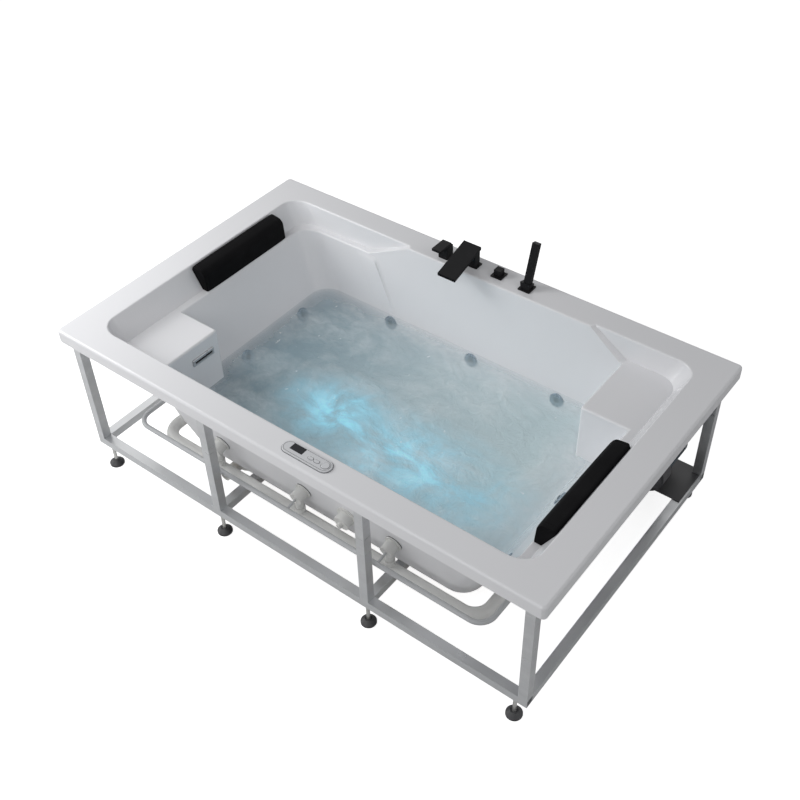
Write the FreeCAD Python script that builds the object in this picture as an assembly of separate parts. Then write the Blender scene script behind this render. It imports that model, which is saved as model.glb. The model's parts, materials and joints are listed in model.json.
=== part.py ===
import FreeCAD, Part
import math
import os

# Jetted bathtub for two, in millimetres. +Z is up, z = 0 is the floor and the origin is the middle
# of the footprint. +X is the end with the right-hand backrest, +Y is the side with the taps.
# Depths are measured down from the rim's top, and a point behind a wall is measured along its normal.

V = FreeCAD.Vector

# ---------------------------------------------------------------- driving dimensions
TUB_LENGTH = 1800.0
TUB_WIDTH = 1100.0
RIM_HEIGHT = 580.0
FLOOR_HEIGHT = 140.0        # top face of the basin floor
WALL = 6.0                  # thickness of the acrylic
LIP_DROP = 44.0             # outer lip, down from the rim
SHELF_DEPTH = 80.0          # wide ledges and headrest ledges, below the rim
JET_DIAMETER = 50.0
RUNNING_FIT = 0.05          # radial clearance of what turns or slides
BODY_GAP = 0.3              # between a loose piece and what it lies against
PAST = 1.0                  # how far a cutting tool runs past the face it cuts

# ---------------------------------------------------------------- tray and basin
END_RIM = 146.0             # width of the flat rim at the two ends
SIDE_RIM = 95.0             # and along the two sides
HEADREST_LEDGE = 26.0       # ledge between the tray's end and the backrest
BACK_LEDGE = 23.4
FRONT_LEDGE = 11.4
WIDE_LEDGE = (189.0, 268.0)
TRAY_END_LEAN = 0.575       # leans are a shift inwards for each millimetre of depth
TRAY_SIDE_LEAN = 0.0375
BACK_LEAN = 0.155
FRONT_LEAN = 0.2175
BACKREST_LEAN = 0.5
TRAY_CORNER = 60.0
BASIN_CORNER = 75.0
FLOOR_ROUND = 45.0
LEDGE_ROUND = 10.0
SHELF_ROUND = 8.0
RIM_CORNER = 14.0
RIM_ROUND = 9.0
INNER_RIM_ROUND = 7.0
BASIN_TOP = 40.0            # depth at which the basin's walls leave the tray's
PILASTER_INSET = (343.0, 472.0)     # its two sides, in from the right end and from the left end
PILASTER_LEAN = (1.36, 1.885)
PILASTER_SKEW = 0.6
PILASTER_BELOW = 20.0       # how far its cut reaches below the ledge
PILASTER_BACK = 60.0        # its hidden rear side, in from the tub's edge
PILASTER_OVER = 5.0         # how far its cut stands over the rim

# ---------------------------------------------------------------- jets
LONG_WALL_SPREAD = (-0.35, 0.0367, 0.4167)  # jets along a long wall, in half lengths of the tub
BACKREST_SPREAD = (0.458, -0.069)           # jets across a backrest, in half widths
WALL_JET_LEVEL = 0.709      # share of the basin's depth
BACKREST_JET_LEVEL = 0.727
JET_FLANGE = 4.0
FLANGE_OVERHANG = 8.0       # flange beyond the barrel
BARREL_LENGTH = 24.0
BALL_DEPTH = 4.0            # ball's centre, behind the wall's face
BALL_WALL = 3.0             # what the barrel keeps behind the ball to hold it
MOUTH_EDGE = 4.0            # how far the mouth's edge closes in front of the ball
SNOUT_R = 7.0
SNOUT_REACH = 8.0
NOZZLE_BORE = 4.5
GASKET = 2.0
GASKET_RIM = 3.0            # gasket and body flange beyond the jet's flange
HOLE_PLAY = 1.0             # a hole in the acrylic round what goes through it
BODY_WALL = 5.0
BODY_BACK = 46.0
BODY_FLANGE = 4.0
CHAMBER_DEPTH = 30.0        # middle of the water chamber, behind the wall's face
STUB_R = 13.0
STUB_BORE = 10.0
STUB_ABOVE = 4.0            # stub's end above the water pipe

# ---------------------------------------------------------------- pipes and pump
MANIFOLD_DROP = 90.0        # water pipe below the jets of the long walls
MANIFOLD_R = 20.0
MANIFOLD_BORE = 17.0
MANIFOLD_BEND = 60.0
RISER_WALL = 4.0
SLEEVE = 16.0               # how much of a stub a riser takes in
RISER_LAP = 12.0
AIR_R = 8.0
AIR_OUT = 43.0              # air pipe, outwards from the back of the jet bodies
AIR_BEND = 50.0
AIR_DROP = 18.0
AIR_PAST_JET = (20.0, 60.0)     # air pipe beyond the last jet at its closed and its open end
CHECK_VALVE = (13.0, 30.0, 10.0)    # radius, length and length of its neck
AIR_END_DEPTH = 30.0        # top of the air pipe, under the rim
PIPE_R = 25.0
PIPE_BORE = 22.0
PUMP_BEND = 36.0
VOLUTE_R = 75.0
VOLUTE_WIDTH = 50.0
VOLUTE_WALL = 10.0
VOLUTE_FACE = (50.0, 67.0, 8.0)     # front cone: small radius, large radius and length
INLET_STUB = 20.0
OUTLET_STUB = 10.0
OUTLET_BORE = 17.0
MOTOR_R = 62.0
MOTOR_LENGTH = 118.0
MOTOR_FLANGE = 10.0
FIN_DEPTH = 8.0
FIN_WIDTH = 3.0
FIN_PITCH = 20              # degrees between fins
FAN_COVER_LENGTH = 20.0
TERMINAL_BOX = (70.0, 60.0, 28.0)   # across, along and above the motor
TERMINAL_START = 30.0
UNION_R = 34.0
UNION_LENGTH = 20.0
UNION_LIP = 1.0
PUMP_FROM_END = 160.0
PUMP_FROM_LEDGE = 123.0
MANIFOLD_START_GAP = 5.0    # water pipe's start, in from the ledge's wall
OUTLET_RUN = 42.0           # pump's outlet pipe beyond the ledge's wall
BRACKET_PLATE = 4.0
BRACKET_LAP = 10.0          # bracket's plate past the middle of the rails
CRADLE_WIDTH = 80.0
CRADLE_START = 16.0
BRACKET_SIDE = 50.0

# ---------------------------------------------------------------- suction
SUCTION_FROM_LEDGE = 55.0
SUCTION_R = 35.0
SUCTION_RIM = 6.0
SUCTION_COVER = 7.0
SUCTION_COVER_ROUND = 3.0
SUCTION_SLOT = (44.0, 5.0, 9.0)     # length, height and pitch
SUCTION_SLOT_DEPTH = 2.0    # slots start this far off the wall
SUCTION_INTAKE = 4.0
SUCTION_SLOTS = 5
SUCTION_FLANGE = 5.0
SUCTION_CHAMBER = 40.0
SUCTION_STUB = 25.0

# ---------------------------------------------------------------- underwater light
LIGHT_ALONG = 141.0
LIGHT_BODY_R = 27.0
LIGHT_FRONT = 5.0
LIGHT_LENS_RIM = 4.0
LIGHT_BEZEL = 8.0
LIGHT_BEZEL_LAP = 3.0
LIGHT_LIP = 2.0
LIGHT_ROUND = 1.5
LIGHT_DEPTH = 40.0
LIGHT_NUT = 6.0
LIGHT_GLAND = (9.0, 12.0)   # radius and length

# ---------------------------------------------------------------- waste and overflow
DRAIN_FROM = (470.0, 288.0)     # from the left end and from the front
DRAIN_TAIL_R = 25.0
DRAIN_WALL = 4.0
DRAIN_FLANGE = (11.0, 3.0, 2.0)     # beyond the tail, thickness and rounding
DRAIN_LAP = 13.0            # tail's end below the overflow's inlet
GUIDE_HUB = 8.0
GUIDE_HEIGHT = 8.0
GUIDE_ARM = 4.0
STEM_R = 4.0
STEM_BELOW = 8.0
PLUG_CAP = (5.0, 5.0, 3.0)  # beyond the tail, thickness and rounding
INLET_BELOW_BOARD = 21.0
TRAP_R = 38.0
TRAP_WALL = 5.0
TRAP_BOTTOM = 22.0
TRAP_FLOOR = 6.0
TRAP_ROUND = 8.0
TRAP_INLET = 20.0
OUTLET_R = 20.0
OUTLET_WALL = 2.5
OUTLET_Z = 56.0
OUTLET_REACH = 110.0
OUTLET_COLLAR = (4.0, 4.0)  # beyond the outlet all round and beyond the cup
TRAP_INLET_LAP = 2.0        # inlet's bore, into the cup's room
OVERFLOW_PIPE_R = 16.0
OVERFLOW_PIPE_WALL = 2.0
OVERFLOW_BEND = 40.0
OVERFLOW_LAP = 8.0
OVERFLOW_ALONG = 76.5       # overflow's middle, in from the wide ledge's corner
OVERFLOW_DEPTH = 141.0
OVERFLOW_SLOT = (76.0, 16.0)
OVERFLOW_COVER = (92.0, 26.0, 6.0)
OVERFLOW_COVER_WALL = (4.0, 3.5, 3.0)
OVERFLOW_COVER_SLOT = (76.0, 9.0)
OVERFLOW_FLANGE = (96.0, 36.0, 4.0)
OVERFLOW_CASE = (84.0, 28.0, 44.0)
OVERFLOW_CASE_WALL = 4.0
OVERFLOW_SPIGOT = (22.0, 40.0, 3.0)     # back from the wall, length down and wall

# ---------------------------------------------------------------- frame and feet
TUBE = 30.0
TUBE_WALL = 2.0
BOARD = 15.0
RAIL_INSET = 35.0
END_RAIL_INSET = 50.0
MIDDLE_RAIL_SHARE = 1 / 3   # of the half length
FOOT_R = 25.0
FOOT_HEIGHT = 12.0
FOOT_NECK = 6.0             # foot's cone beyond the stud at its top
STUD_R = 6.0
NUT_WIDTH = 19.0
NUT_HEIGHT = 10.0
RIM_PAD = 5.0
TOP_PLATE = 3.0

# ---------------------------------------------------------------- deck taps
DECK_BACK = {"mixer": 68.0, "spout": 53.0, "diverter": 54.0, "handset": 60.0}   # in from the back edge
DECK_ALONG = {"mixer": -138.0, "spout": -47.0, "diverter": 66.5, "handset": 178.0}
SHANK_R = 14.0
WIDE_SHANK_R = 17.0
SHANK_LENGTH = 60.0
WASHER = 5.0
WASHER_RIM = 10.0
BACKNUT_RIM = 7.0
BACKNUT = 10.0
BASE_PLATE = 4.0
BASE_ROUND = 2.0
MIXER_SIDE = 36.0
MIXER_HEIGHT = 45.5
MIXER_EDGE = 1.0
INLET_BLOCK = (68.0, 26.0, 22.0)
TAIL_PIN_R = 10.48
TAIL_PIN_LENGTH = 16.0
TAIL_PITCH = 40.0
CARTRIDGE_DEPTH = 16.0
SPINDLE_R = 13.0
LEVER_STAND = 1.5           # lever above the mixer's top
LEVER = (36.0, 64.0, 9.0)
LEVER_REAR = 9.0
LEVER_ROUND = (1.5, 0.8)
LEVER_AXIS_BACK = 5.0
LEVER_AXIS_UP = 4.0
LUG = (10.0, 8.0, 2.5)      # across, along and above the axis
LUG_SUNK = 1.0
LUG_SIDE_GAP = 0.4
LUG_ROOM = (8.0, 11.0, 3.8)     # before the axis, behind the lever's rear end and above the axis
PIN_R = 1.5
PIN_LENGTH = 12.0
SPOUT_WIDTH = 70.0
SPOUT_THICK = 10.0
SPOUT_REAR = 9.0
SPOUT_FRONT = 139.0
SPOUT_REAR_HEIGHT = 74.0
SPOUT_FRONT_HEIGHT = 30.0
SPOUT_EDGE = 1.2
SPOUT_POST = (60.0, 17.0, 13.0)     # width, reach to the front and how far it ends below the plate's top
SPOUT_MOUTH = (60.0, 4.0, 3.0, 40.0)    # width, height, below the plate's top and depth
DIVERTER_BASE = 42.0
DIVERTER_KNOB = 26.0
KNOB_TOP = 26.0
KNOB_GAP = 0.2
KNOB_ROUND = (1.5, 0.8)
KNOB_SPINDLE_R = 8.0
KNOB_SPINDLE_DEPTH = 16.0
HANDSET_TILT = 16.0
HANDSET_BASE = 44.0
STICK = (24.0, 20.0)
STICK_FROM = 10.0           # distances along the leaning axis, from the rim's top
STICK_TO = 158.0
STICK_ROUND = 1.5
SOCKET_TOP = 20.0
SOCKET_FOOT = (32.0, 27.0)
SOCKET_MOUTH = (38.0, 28.0)
SOCKET_SHIFT = -3.0
TAIL_R = 9.0
TAIL_FROM = -20.0
TAIL_BORE = 6.0
TAIL_BORE_DEPTH = 14.0
HOSE_ROOM_TOP = 5.0         # top of the hose's room, below the rim's top
SPRAY_R = 8.0
SPRAY_FROM_TOP = 30.0
SPRAY_DEPTH = 1.0

# ---------------------------------------------------------------- control panel and control box
PANEL_FRONT = 48.0          # places on the panel are measured in from the tub's front edge
PANEL_ALONG = 104.0
PANEL_SIZE = (172.0, 46.0)
PANEL_FLANGE = 4.5
PANEL_CASE = (150.0, 34.0, 36.0)
PANEL_ROUND = 1.5
PANEL_PLAY = 2.0
DISPLAY_PLACE = (67.0, 54.0)    # along the tub, and in from its front edge
PUMP_KEY_PLACE = (118.0, 47.0)
LIGHT_KEY_PLACE = (140.0, 47.0)
POWER_KEY_PLACE = (169.0, 49.0)
DISPLAY_SIZE = (44.0, 24.0)
DISPLAY_SUNK = 2.0
DISPLAY_STAND = 0.4
OVAL_KEY = (18.0, 10.0)
POWER_KEY_R = 12.0
KEY_STAND = 1.5
KEY_FOOT = 1.5              # underside of a key above the rim
KEY_TRAVEL = 1.0
KEY_ROOM = 0.5              # left under a key that is pressed home
KEY_ROUND = (0.6, 0.8)
CONTROL_BOX = (150.0, 200.0, 90.0)
CONTROL_ROUND = 8.0
CONTROL_FOOT = (40.0, 80.0, 20.0, 4.0)
CONTROL_INSET = (4.0, 5.0)
CABLE_GLAND = (9.0, 12.0)
CABLE_GLANDS = 4
CABLE_GLAND_PITCH = 40.0

# ---------------------------------------------------------------- pillows
PILLOW_START = -62.0
PILLOW_LENGTH = 392.0
PILLOW_CORE = (12.0, 42.0)  # point that a section swells from: behind the foot and below the rim
PILLOW_TOE = 1.0            # points of its outline: in from the backrest's edge and below the rim
PILLOW_NOSE_LOW = (7.0, 44.0)
PILLOW_NOSE = (8.0, 14.0)
PILLOW_NOSE_HIGH = (19.0, 3.0)
PILLOW_BACK = 5.0           # back of its top, in from the foot of the end wall
PILLOW_SHOULDER = (3.0, -2.0)   # from there, along the tub and above the rim
PILLOW_TOP = (10.0, 3.0)
PILLOW_WALL_TOP = 10.0      # where its back leaves the end wall, below the rim
PILLOW_WALL_GAP = 0.36      # between its back and the end wall
PILLOW_SWELL = 1.02
PILLOW_STATIONS = [(0, 0.80), (10, 0.95), (15, 0.985), (17, 0.955), (19, 0.985), (60, 1.0)]

# ---------------------------------------------------------------- derived: plan and levels
HALF_L = TUB_LENGTH / 2
HALF_W = TUB_WIDTH / 2
BASIN_DEPTH = RIM_HEIGHT - FLOOR_HEIGHT
TRAY_X = HALF_L - END_RIM
TRAY_Y = HALF_W - SIDE_RIM
BACK_Y = TRAY_Y - BACK_LEDGE
FRONT_Y = TRAY_Y - FRONT_LEDGE
BACKREST_X = TRAY_X - HEADREST_LEDGE
LEDGE_X = TRAY_X - WIDE_LEDGE[0]
LEDGE_Y = TRAY_Y - WIDE_LEDGE[1]
SHELF_Z = RIM_HEIGHT - SHELF_DEPTH
RIM_UNDER = RIM_HEIGHT - WALL
BOARD_BOTTOM = FLOOR_HEIGHT - WALL - BOARD
RAIL_BOTTOM = BOARD_BOTTOM - TUBE
RAIL_MIDDLE = RAIL_BOTTOM + TUBE / 2
RAIL_Y = HALF_W - RAIL_INSET
RAIL_END = HALF_L - RAIL_INSET
END_RAIL_X = HALF_L - END_RAIL_INSET
MIDDLE_RAIL_X = HALF_L * MIDDLE_RAIL_SHARE
PLATE_TOP = RIM_UNDER - RIM_PAD

# ---------------------------------------------------------------- derived: jets and pipes
JET_R = JET_DIAMETER / 2
BARREL_R = JET_R - FLANGE_OVERHANG
BALL_R = JET_R / 2
BODY_R = BARREL_R + BODY_WALL
BODY_FRONT = -WALL - GASKET
SEAL_R = JET_R + GASKET_RIM
WALL_JET_DEPTH = WALL_JET_LEVEL * BASIN_DEPTH
BACKREST_JET_DEPTH = BACKREST_JET_LEVEL * BASIN_DEPTH
MANIFOLD_Z = RIM_HEIGHT - WALL_JET_DEPTH - MANIFOLD_DROP
MANIFOLD_START = LEDGE_X - MANIFOLD_START_GAP
AIR_Z = RIM_HEIGHT - WALL_JET_DEPTH - AIR_DROP
PUMP = (HALF_L - PUMP_FROM_END, LEDGE_Y + PUMP_FROM_LEDGE, MANIFOLD_Z + VOLUTE_R - PIPE_R)
OUTLET_X = PUMP[0] - VOLUTE_R - OUTLET_STUB
SUCTION_Y = LEDGE_Y + SUCTION_FROM_LEDGE

# ---------------------------------------------------------------- derived: fittings on the tub
LENS_R = LIGHT_BODY_R + LIGHT_LENS_RIM
DRAIN = (DRAIN_FROM[0] - HALF_L, DRAIN_FROM[1] - HALF_W)
FLANGE_TOP = FLOOR_HEIGHT + DRAIN_FLANGE[1]
WASTE_Z = BOARD_BOTTOM - INLET_BELOW_BOARD
OVERFLOW = (-LEDGE_X, -LEDGE_Y - OVERFLOW_ALONG, RIM_HEIGHT - OVERFLOW_DEPTH)
MIXER, SPOUT, DIVERTER, HANDSET = [(DECK_ALONG[tap], HALF_W - DECK_BACK[tap]) for tap in DECK_ALONG]
SHANKS = [(MIXER, SHANK_R), (SPOUT, SHANK_R), (DIVERTER, SHANK_R), (HANDSET, WIDE_SHANK_R)]
SHANK_END = RIM_HEIGHT - SHANK_LENGTH
MIXER_TOP = RIM_HEIGHT + MIXER_HEIGHT
LEVER_LOW = MIXER_TOP + LEVER_STAND
LEVER_AXIS = (MIXER[1] + LEVER_AXIS_BACK, LEVER_LOW + LEVER_AXIS_UP)
PANEL = (PANEL_ALONG, PANEL_FRONT - HALF_W)
PANEL_TOP = RIM_HEIGHT + PANEL_FLANGE
DISPLAY, PUMP_KEY, LIGHT_KEY, POWER_KEY = [
    (along, inwards - HALF_W)
    for along, inwards in (DISPLAY_PLACE, PUMP_KEY_PLACE, LIGHT_KEY_PLACE, POWER_KEY_PLACE)]
KEY_TOP = PANEL_TOP + KEY_STAND
KEY_LOW = RIM_HEIGHT + KEY_FOOT


# ================================================================ helpers
def box(x0, x1, y0, y1, z0, z1):
    return Part.makeBox(x1 - x0, y1 - y0, z1 - z0, V(x0, y0, z0))


def block(centre, size, z0, z1):
    """A box on a centre, with its size across and along."""
    (x, y), (across, deep) = centre, size
    return box(x - across / 2, x + across / 2, y - deep / 2, y + deep / 2, z0, z1)


def square_box(centre, side, z0, z1):
    return block(centre, (side, side), z0, z1)


def rod(start, end, radius):
    way = V(*end) - V(*start)
    return Part.makeCylinder(radius, way.Length, V(*start), way)


def ring(start, end, outer, inner):
    return rod(start, end, outer).cut(rod(start, end, inner))


def middle(edge):
    return edge.valueAt((edge.FirstParameter + edge.LastParameter) / 2)


def rounded(shape, radius, test):
    """Round the shape's edges for which test(edge) is true."""
    return shape.makeFillet(radius, [edge for edge in shape.Edges if test(edge)])


def upright(edge):
    ends = [vertex.Point for vertex in edge.Vertexes]
    return abs(ends[0].z - ends[-1].z) > 0.8 * edge.Length


def slanted(edge):
    ends = [vertex.Point for vertex in edge.Vertexes]
    return abs(ends[0].z - ends[-1].z) > BASIN_TOP / 2


def at_height(edge, height):
    return all(abs(vertex.Point.z - height) < 0.5 for vertex in edge.Vertexes)


def rounded_top(shape, radius, height):
    """Round the edges that lie at a height."""
    return rounded(shape, radius, lambda edge: at_height(edge, height))


def pad(x0, x1, y0, y1, z0, z1, corner):
    """A box with its upright edges rounded."""
    return rounded(box(x0, x1, y0, y1, z0, z1), corner, upright)


def centred_pad(centre, size, z0, z1, corner):
    return rounded(block(centre, size, z0, z1), corner, upright)


def square_pad(centre, side, z0, z1, corner):
    return centred_pad(centre, (side, side), z0, z1, corner)


def half_turn(shape):
    turned_shape = shape.copy()
    turned_shape.rotate(V(0, 0, 0), V(0, 0, 1), 180)
    return turned_shape


def placed(shape, origin, normal):
    """Move a shape made along +Z so that +Z is the normal and +Y stays the upper side."""
    across = V(0, 0, 1).cross(normal).normalize()
    upward = normal.cross(across)
    matrix = FreeCAD.Matrix(
        across.x, upward.x, normal.x, origin.x,
        across.y, upward.y, normal.y, origin.y,
        across.z, upward.z, normal.z, origin.z,
        0, 0, 0, 1)
    moved = shape.copy()
    moved.Placement = FreeCAD.Placement(matrix)
    return moved


def pipe(points, radius, bend):
    """A solid rod along straight runs joined by tangent arcs."""
    points = [V(*point) for point in points]
    edges = []
    start = points[0]
    for before, corner, after in zip(points, points[1:], points[2:]):
        back = (before - corner).normalize()
        ahead = (after - corner).normalize()
        half_angle = back.getAngle(ahead) / 2
        reach = bend / math.tan(half_angle)
        inner = (back + ahead).normalize() * (bend / math.sin(half_angle) - bend)
        first, last = corner + back * reach, corner + ahead * reach
        edges.append(Part.makeLine(start, first))
        edges.append(Part.Arc(first, corner + inner, last).toShape())
        start = last
    edges.append(Part.makeLine(start, points[-1]))
    profile = Part.Wire(Part.makeCircle(radius, points[0], points[1] - points[0]))
    return Part.Wire(edges).makePipeShell([profile], True, False)


def hollow_pipe(route, outer, inner, bend):
    return pipe(route, outer, bend).cut(pipe(route, inner, bend))


def stadium(centre, size, z0, z1):
    """A flat bar with half-round ends, its long side along X."""
    (x, y), (across, deep) = centre, size
    radius = deep / 2
    left, right = x - across / 2 + radius, x + across / 2 - radius
    top, bottom = y + radius, y - radius
    right_end = Part.Arc(V(right, bottom, z0), V(right + radius, y, z0), V(right, top, z0))
    left_end = Part.Arc(V(left, top, z0), V(left - radius, y, z0), V(left, bottom, z0))
    edges = [
        Part.makeLine(V(left, bottom, z0), V(right, bottom, z0)), right_end.toShape(),
        Part.makeLine(V(right, top, z0), V(left, top, z0)), left_end.toShape()]
    return Part.Face(Part.Wire(edges)).extrude(V(0, 0, z1 - z0))


def hexagon(x, y, width, z0, z1):
    radius = width / math.sqrt(3)
    spots = []
    for corner in range(6):
        angle = math.radians(60 * corner)
        spots.append(V(x + radius * math.cos(angle), y + radius * math.sin(angle), z0))
    return face(spots).extrude(V(0, 0, z1 - z0))


def one_solid(shape):
    return shape.removeSplitter().Solids[0]


def group(shapes):
    return Part.makeCompound(shapes)


# ================================================================ walls that lean
def wall(x, y, across_x, across_y, lean, sign=1):
    """A wall through (x, y) at ledge depth; lean is its inward shift per millimetre of depth."""
    size = math.hypot(across_x, across_y)
    return (x, y, across_x / size, across_y / size, lean, sign)


def turned(side):
    x, y, across_x, across_y, lean, sign = side
    return (-x, -y, -across_x, -across_y, lean, sign)


def flipped(side):
    x, y, across_x, across_y, lean, sign = side
    return (x, y, -across_x, -across_y, lean, -sign)


def corners(walls, depth, grow):
    """Where neighbouring walls meet at a depth, with every wall moved outwards by grow."""
    lines = []
    for x, y, across_x, across_y, lean, sign in walls:
        reach = x * across_x + y * across_y + sign * grow - sign * lean * (depth - SHELF_DEPTH)
        lines.append((across_x, across_y, reach))
    points = []
    for one, two in zip([lines[-1]] + lines, lines):
        det = one[0] * two[1] - one[1] * two[0]
        x = (one[2] * two[1] - one[1] * two[2]) / det
        y = (one[0] * two[2] - one[2] * two[0]) / det
        points.append(V(x, y, RIM_HEIGHT - depth))
    return points


def face(points):
    return Part.Face(Part.makePolygon(points + points[:1]))


def pocket(walls, top, bottom, grow):
    """The solid that leaning walls enclose between two depths."""
    upper, lower = corners(walls, top, grow), corners(walls, bottom, grow)
    faces = [face(upper), face(lower)]
    for index in range(len(upper)):
        faces.append(face([upper[index - 1], upper[index], lower[index], lower[index - 1]]))
    solid = Part.Solid(Part.Shell(faces))
    if solid.Volume < 0:
        solid.reverse()
    return solid


TRAY_WALLS = [
    wall(0, -TRAY_Y, 0, -1, TRAY_SIDE_LEAN), wall(TRAY_X, 0, 1, 0, TRAY_END_LEAN),
    wall(0, TRAY_Y, 0, 1, TRAY_SIDE_LEAN), wall(-TRAY_X, 0, -1, 0, TRAY_END_LEAN)]
BACK_WALL = wall(0, BACK_Y, 0, 1, BACK_LEAN)
FRONT_WALL = wall(0, -FRONT_Y, 0, -1, FRONT_LEAN)
LEFT_BACKREST = wall(-BACKREST_X, 0, -1, 0, BACKREST_LEAN)
BASIN_WALLS = [FRONT_WALL, turned(LEFT_BACKREST), BACK_WALL, LEFT_BACKREST]


def wall_point(side, along, depth):
    """A point on a wall's inner face, and the wall's normal into the tub."""
    x, y, across_x, across_y, lean, _ = side
    reach = x * across_x + y * across_y - lean * (depth - SHELF_DEPTH)
    point = V(across_x * reach, across_y * reach, RIM_HEIGHT - depth)
    point += V(abs(across_y), abs(across_x), 0) * along
    normal = V(-across_x, -across_y, lean).normalize()
    return point, normal


# ================================================================ tub shell
def pilaster(front_y, front, grow):
    """The stepped bulge that brings a long wall forward to the rim, in its pose at the back."""
    right, left = (HALF_L - inset for inset in PILASTER_INSET)
    right_lean, left_lean = PILASTER_LEAN
    sides = [
        flipped(front), wall(right, front_y, 1, -PILASTER_SKEW, right_lean, -1),
        wall(0, HALF_W - PILASTER_BACK, 0, 1, 0, 0),
        wall(-left, front_y, -1, -PILASTER_SKEW, left_lean, -1)]
    return pocket(sides, -PILASTER_OVER, SHELF_DEPTH + PILASTER_BELOW + grow, grow)


def wide_ledge(grow):
    """What the wide ledge takes out of the basin, at the front left."""
    x, y = -LEDGE_X - grow, -LEDGE_Y - grow
    solid_part = box(-HALF_L, x, -HALF_W, y, 0, RIM_HEIGHT - BASIN_TOP / 2)

    def inner_corner(edge):
        return upright(edge) and math.hypot(middle(edge).x - x, middle(edge).y - y) < 1
    return rounded(solid_part, LEDGE_ROUND - grow, inner_corner)


def shelf_edge(edge):
    """The free edges of a headrest ledge and of a wide ledge."""
    if not at_height(edge, SHELF_Z) or edge.Length < SHELF_ROUND / 2:
        return False
    spot = middle(edge)
    x, y = (spot.x, spot.y) if spot.x < 0 else (-spot.x, -spot.y)
    across = abs(edge.tangentAt(edge.FirstParameter).x) < 0.1
    on_backrest = abs(x + BACKREST_X) < 1 and across
    on_side = abs(y + LEDGE_Y) < 1 and x < -LEDGE_X
    on_face = abs(x + LEDGE_X) < 1 and across and -FRONT_Y + 1 < y < -LEDGE_Y
    near_corner = math.hypot(x + LEDGE_X, y + LEDGE_Y) < LEDGE_ROUND
    return on_backrest or on_side or on_face or (near_corner and edge.Length < 2 * LEDGE_ROUND)


def carve(grow):
    """The basin with its round floor, less the two wide ledges."""
    basin = pocket(BASIN_WALLS, BASIN_TOP, BASIN_DEPTH + grow, grow)
    basin = rounded(basin, BASIN_CORNER + grow, slanted)
    basin = rounded_top(basin, FLOOR_ROUND + grow, FLOOR_HEIGHT - grow)
    ledge = wide_ledge(grow)
    return basin.cut(ledge).cut(half_turn(ledge))


def cavity(grow):
    """The room inside the tub, with every wall moved outwards by grow."""
    top = -PAST if grow == 0 else WALL / 2
    tray = rounded(pocket(TRAY_WALLS, top, SHELF_DEPTH + grow, grow), TRAY_CORNER + grow, slanted)
    bulge_back = pilaster(BACK_Y, BACK_WALL, grow)
    bulge_front = pilaster(FRONT_Y, turned(FRONT_WALL), grow)
    tray = tray.cut(bulge_back).cut(half_turn(bulge_front))
    room = one_solid(tray.fuse(carve(grow)))
    if grow == 0:
        room = rounded(room, SHELF_ROUND, shelf_edge)
    return room


def lip_tray():
    """The rim's flat top with its turned-down outer lip."""
    outer = pad(-HALF_L, HALF_L, -HALF_W, HALF_W, RIM_HEIGHT - LIP_DROP, RIM_HEIGHT, RIM_CORNER)
    outer = rounded_top(outer, RIM_ROUND, RIM_HEIGHT)
    x, y = HALF_L - WALL, HALF_W - WALL
    return outer.cut(pad(-x, x, -y, y, 0, RIM_UNDER, RIM_CORNER - WALL))


def jet_places():
    """Name, point on the wall and normal of every jet."""
    along = [share * HALF_L for share in LONG_WALL_SPREAD]
    across = [share * HALF_W for share in BACKREST_SPREAD]
    rows = [
        ("back", BACK_WALL, along, WALL_JET_DEPTH),
        ("front", FRONT_WALL, [-spot for spot in along], WALL_JET_DEPTH),
        ("left", LEFT_BACKREST, across, BACKREST_JET_DEPTH),
        ("right", turned(LEFT_BACKREST), [-spot for spot in across], BACKREST_JET_DEPTH)]
    places = []
    for row, side, spots, depth in rows:
        for number, spot in enumerate(spots, 1):
            places.append((f"{row}_{number}",) + wall_point(side, spot, depth))
    return places


JETS = jet_places()
LIGHT_PLACE = wall_point(FRONT_WALL, LIGHT_ALONG, WALL_JET_DEPTH)


def wall_hole(point, normal, radius):
    return rod(point - normal * 3 * WALL, point + normal * WALL, radius + HOLE_PLAY)


def deck_holes():
    """The holes for the taps' shanks and the panel's case."""
    low, high = RIM_UNDER - PAST, RIM_HEIGHT + PAST
    holes = [rod((x, y, low), (x, y, high), radius + HOLE_PLAY) for (x, y), radius in SHANKS]
    length, width, _ = PANEL_CASE
    holes.append(stadium(PANEL, (length + PANEL_PLAY, width + PANEL_PLAY), low, high))
    return holes


def shell_openings():
    """Everything that is drilled or cut through the acrylic."""
    holes = [wall_hole(point, normal, BARREL_R) for _, point, normal in JETS]
    holes.append(wall_hole(*LIGHT_PLACE, LIGHT_BODY_R))
    holes.append(wall_hole(V(LEDGE_X, SUCTION_Y, PUMP[2]), V(-1, 0, 0), PIPE_R))
    holes.append(wall_hole(V(*DRAIN, FLOOR_HEIGHT), V(0, 0, 1), DRAIN_TAIL_R))
    x, y, z = OVERFLOW
    width, height = OVERFLOW_SLOT
    holes.append(block((x, y), (4 * WALL, width), z - height / 2, z + height / 2))
    return holes + deck_holes()


def tub_shell():
    """The moulded acrylic: rim, tray, two seats with backrests, two wide ledges and the floor."""
    skin = one_solid(lip_tray().fuse(cavity(WALL)).cut(cavity(0)))

    def opening_edge(edge):
        inside = abs(middle(edge).x) < HALF_L - END_RIM / 2 and abs(middle(edge).y) < HALF_W - SIDE_RIM / 2
        return at_height(edge, RIM_HEIGHT) and inside
    skin = rounded(skin, INNER_RIM_ROUND, opening_edge)
    return one_solid(skin.cut(shell_openings()))


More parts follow.
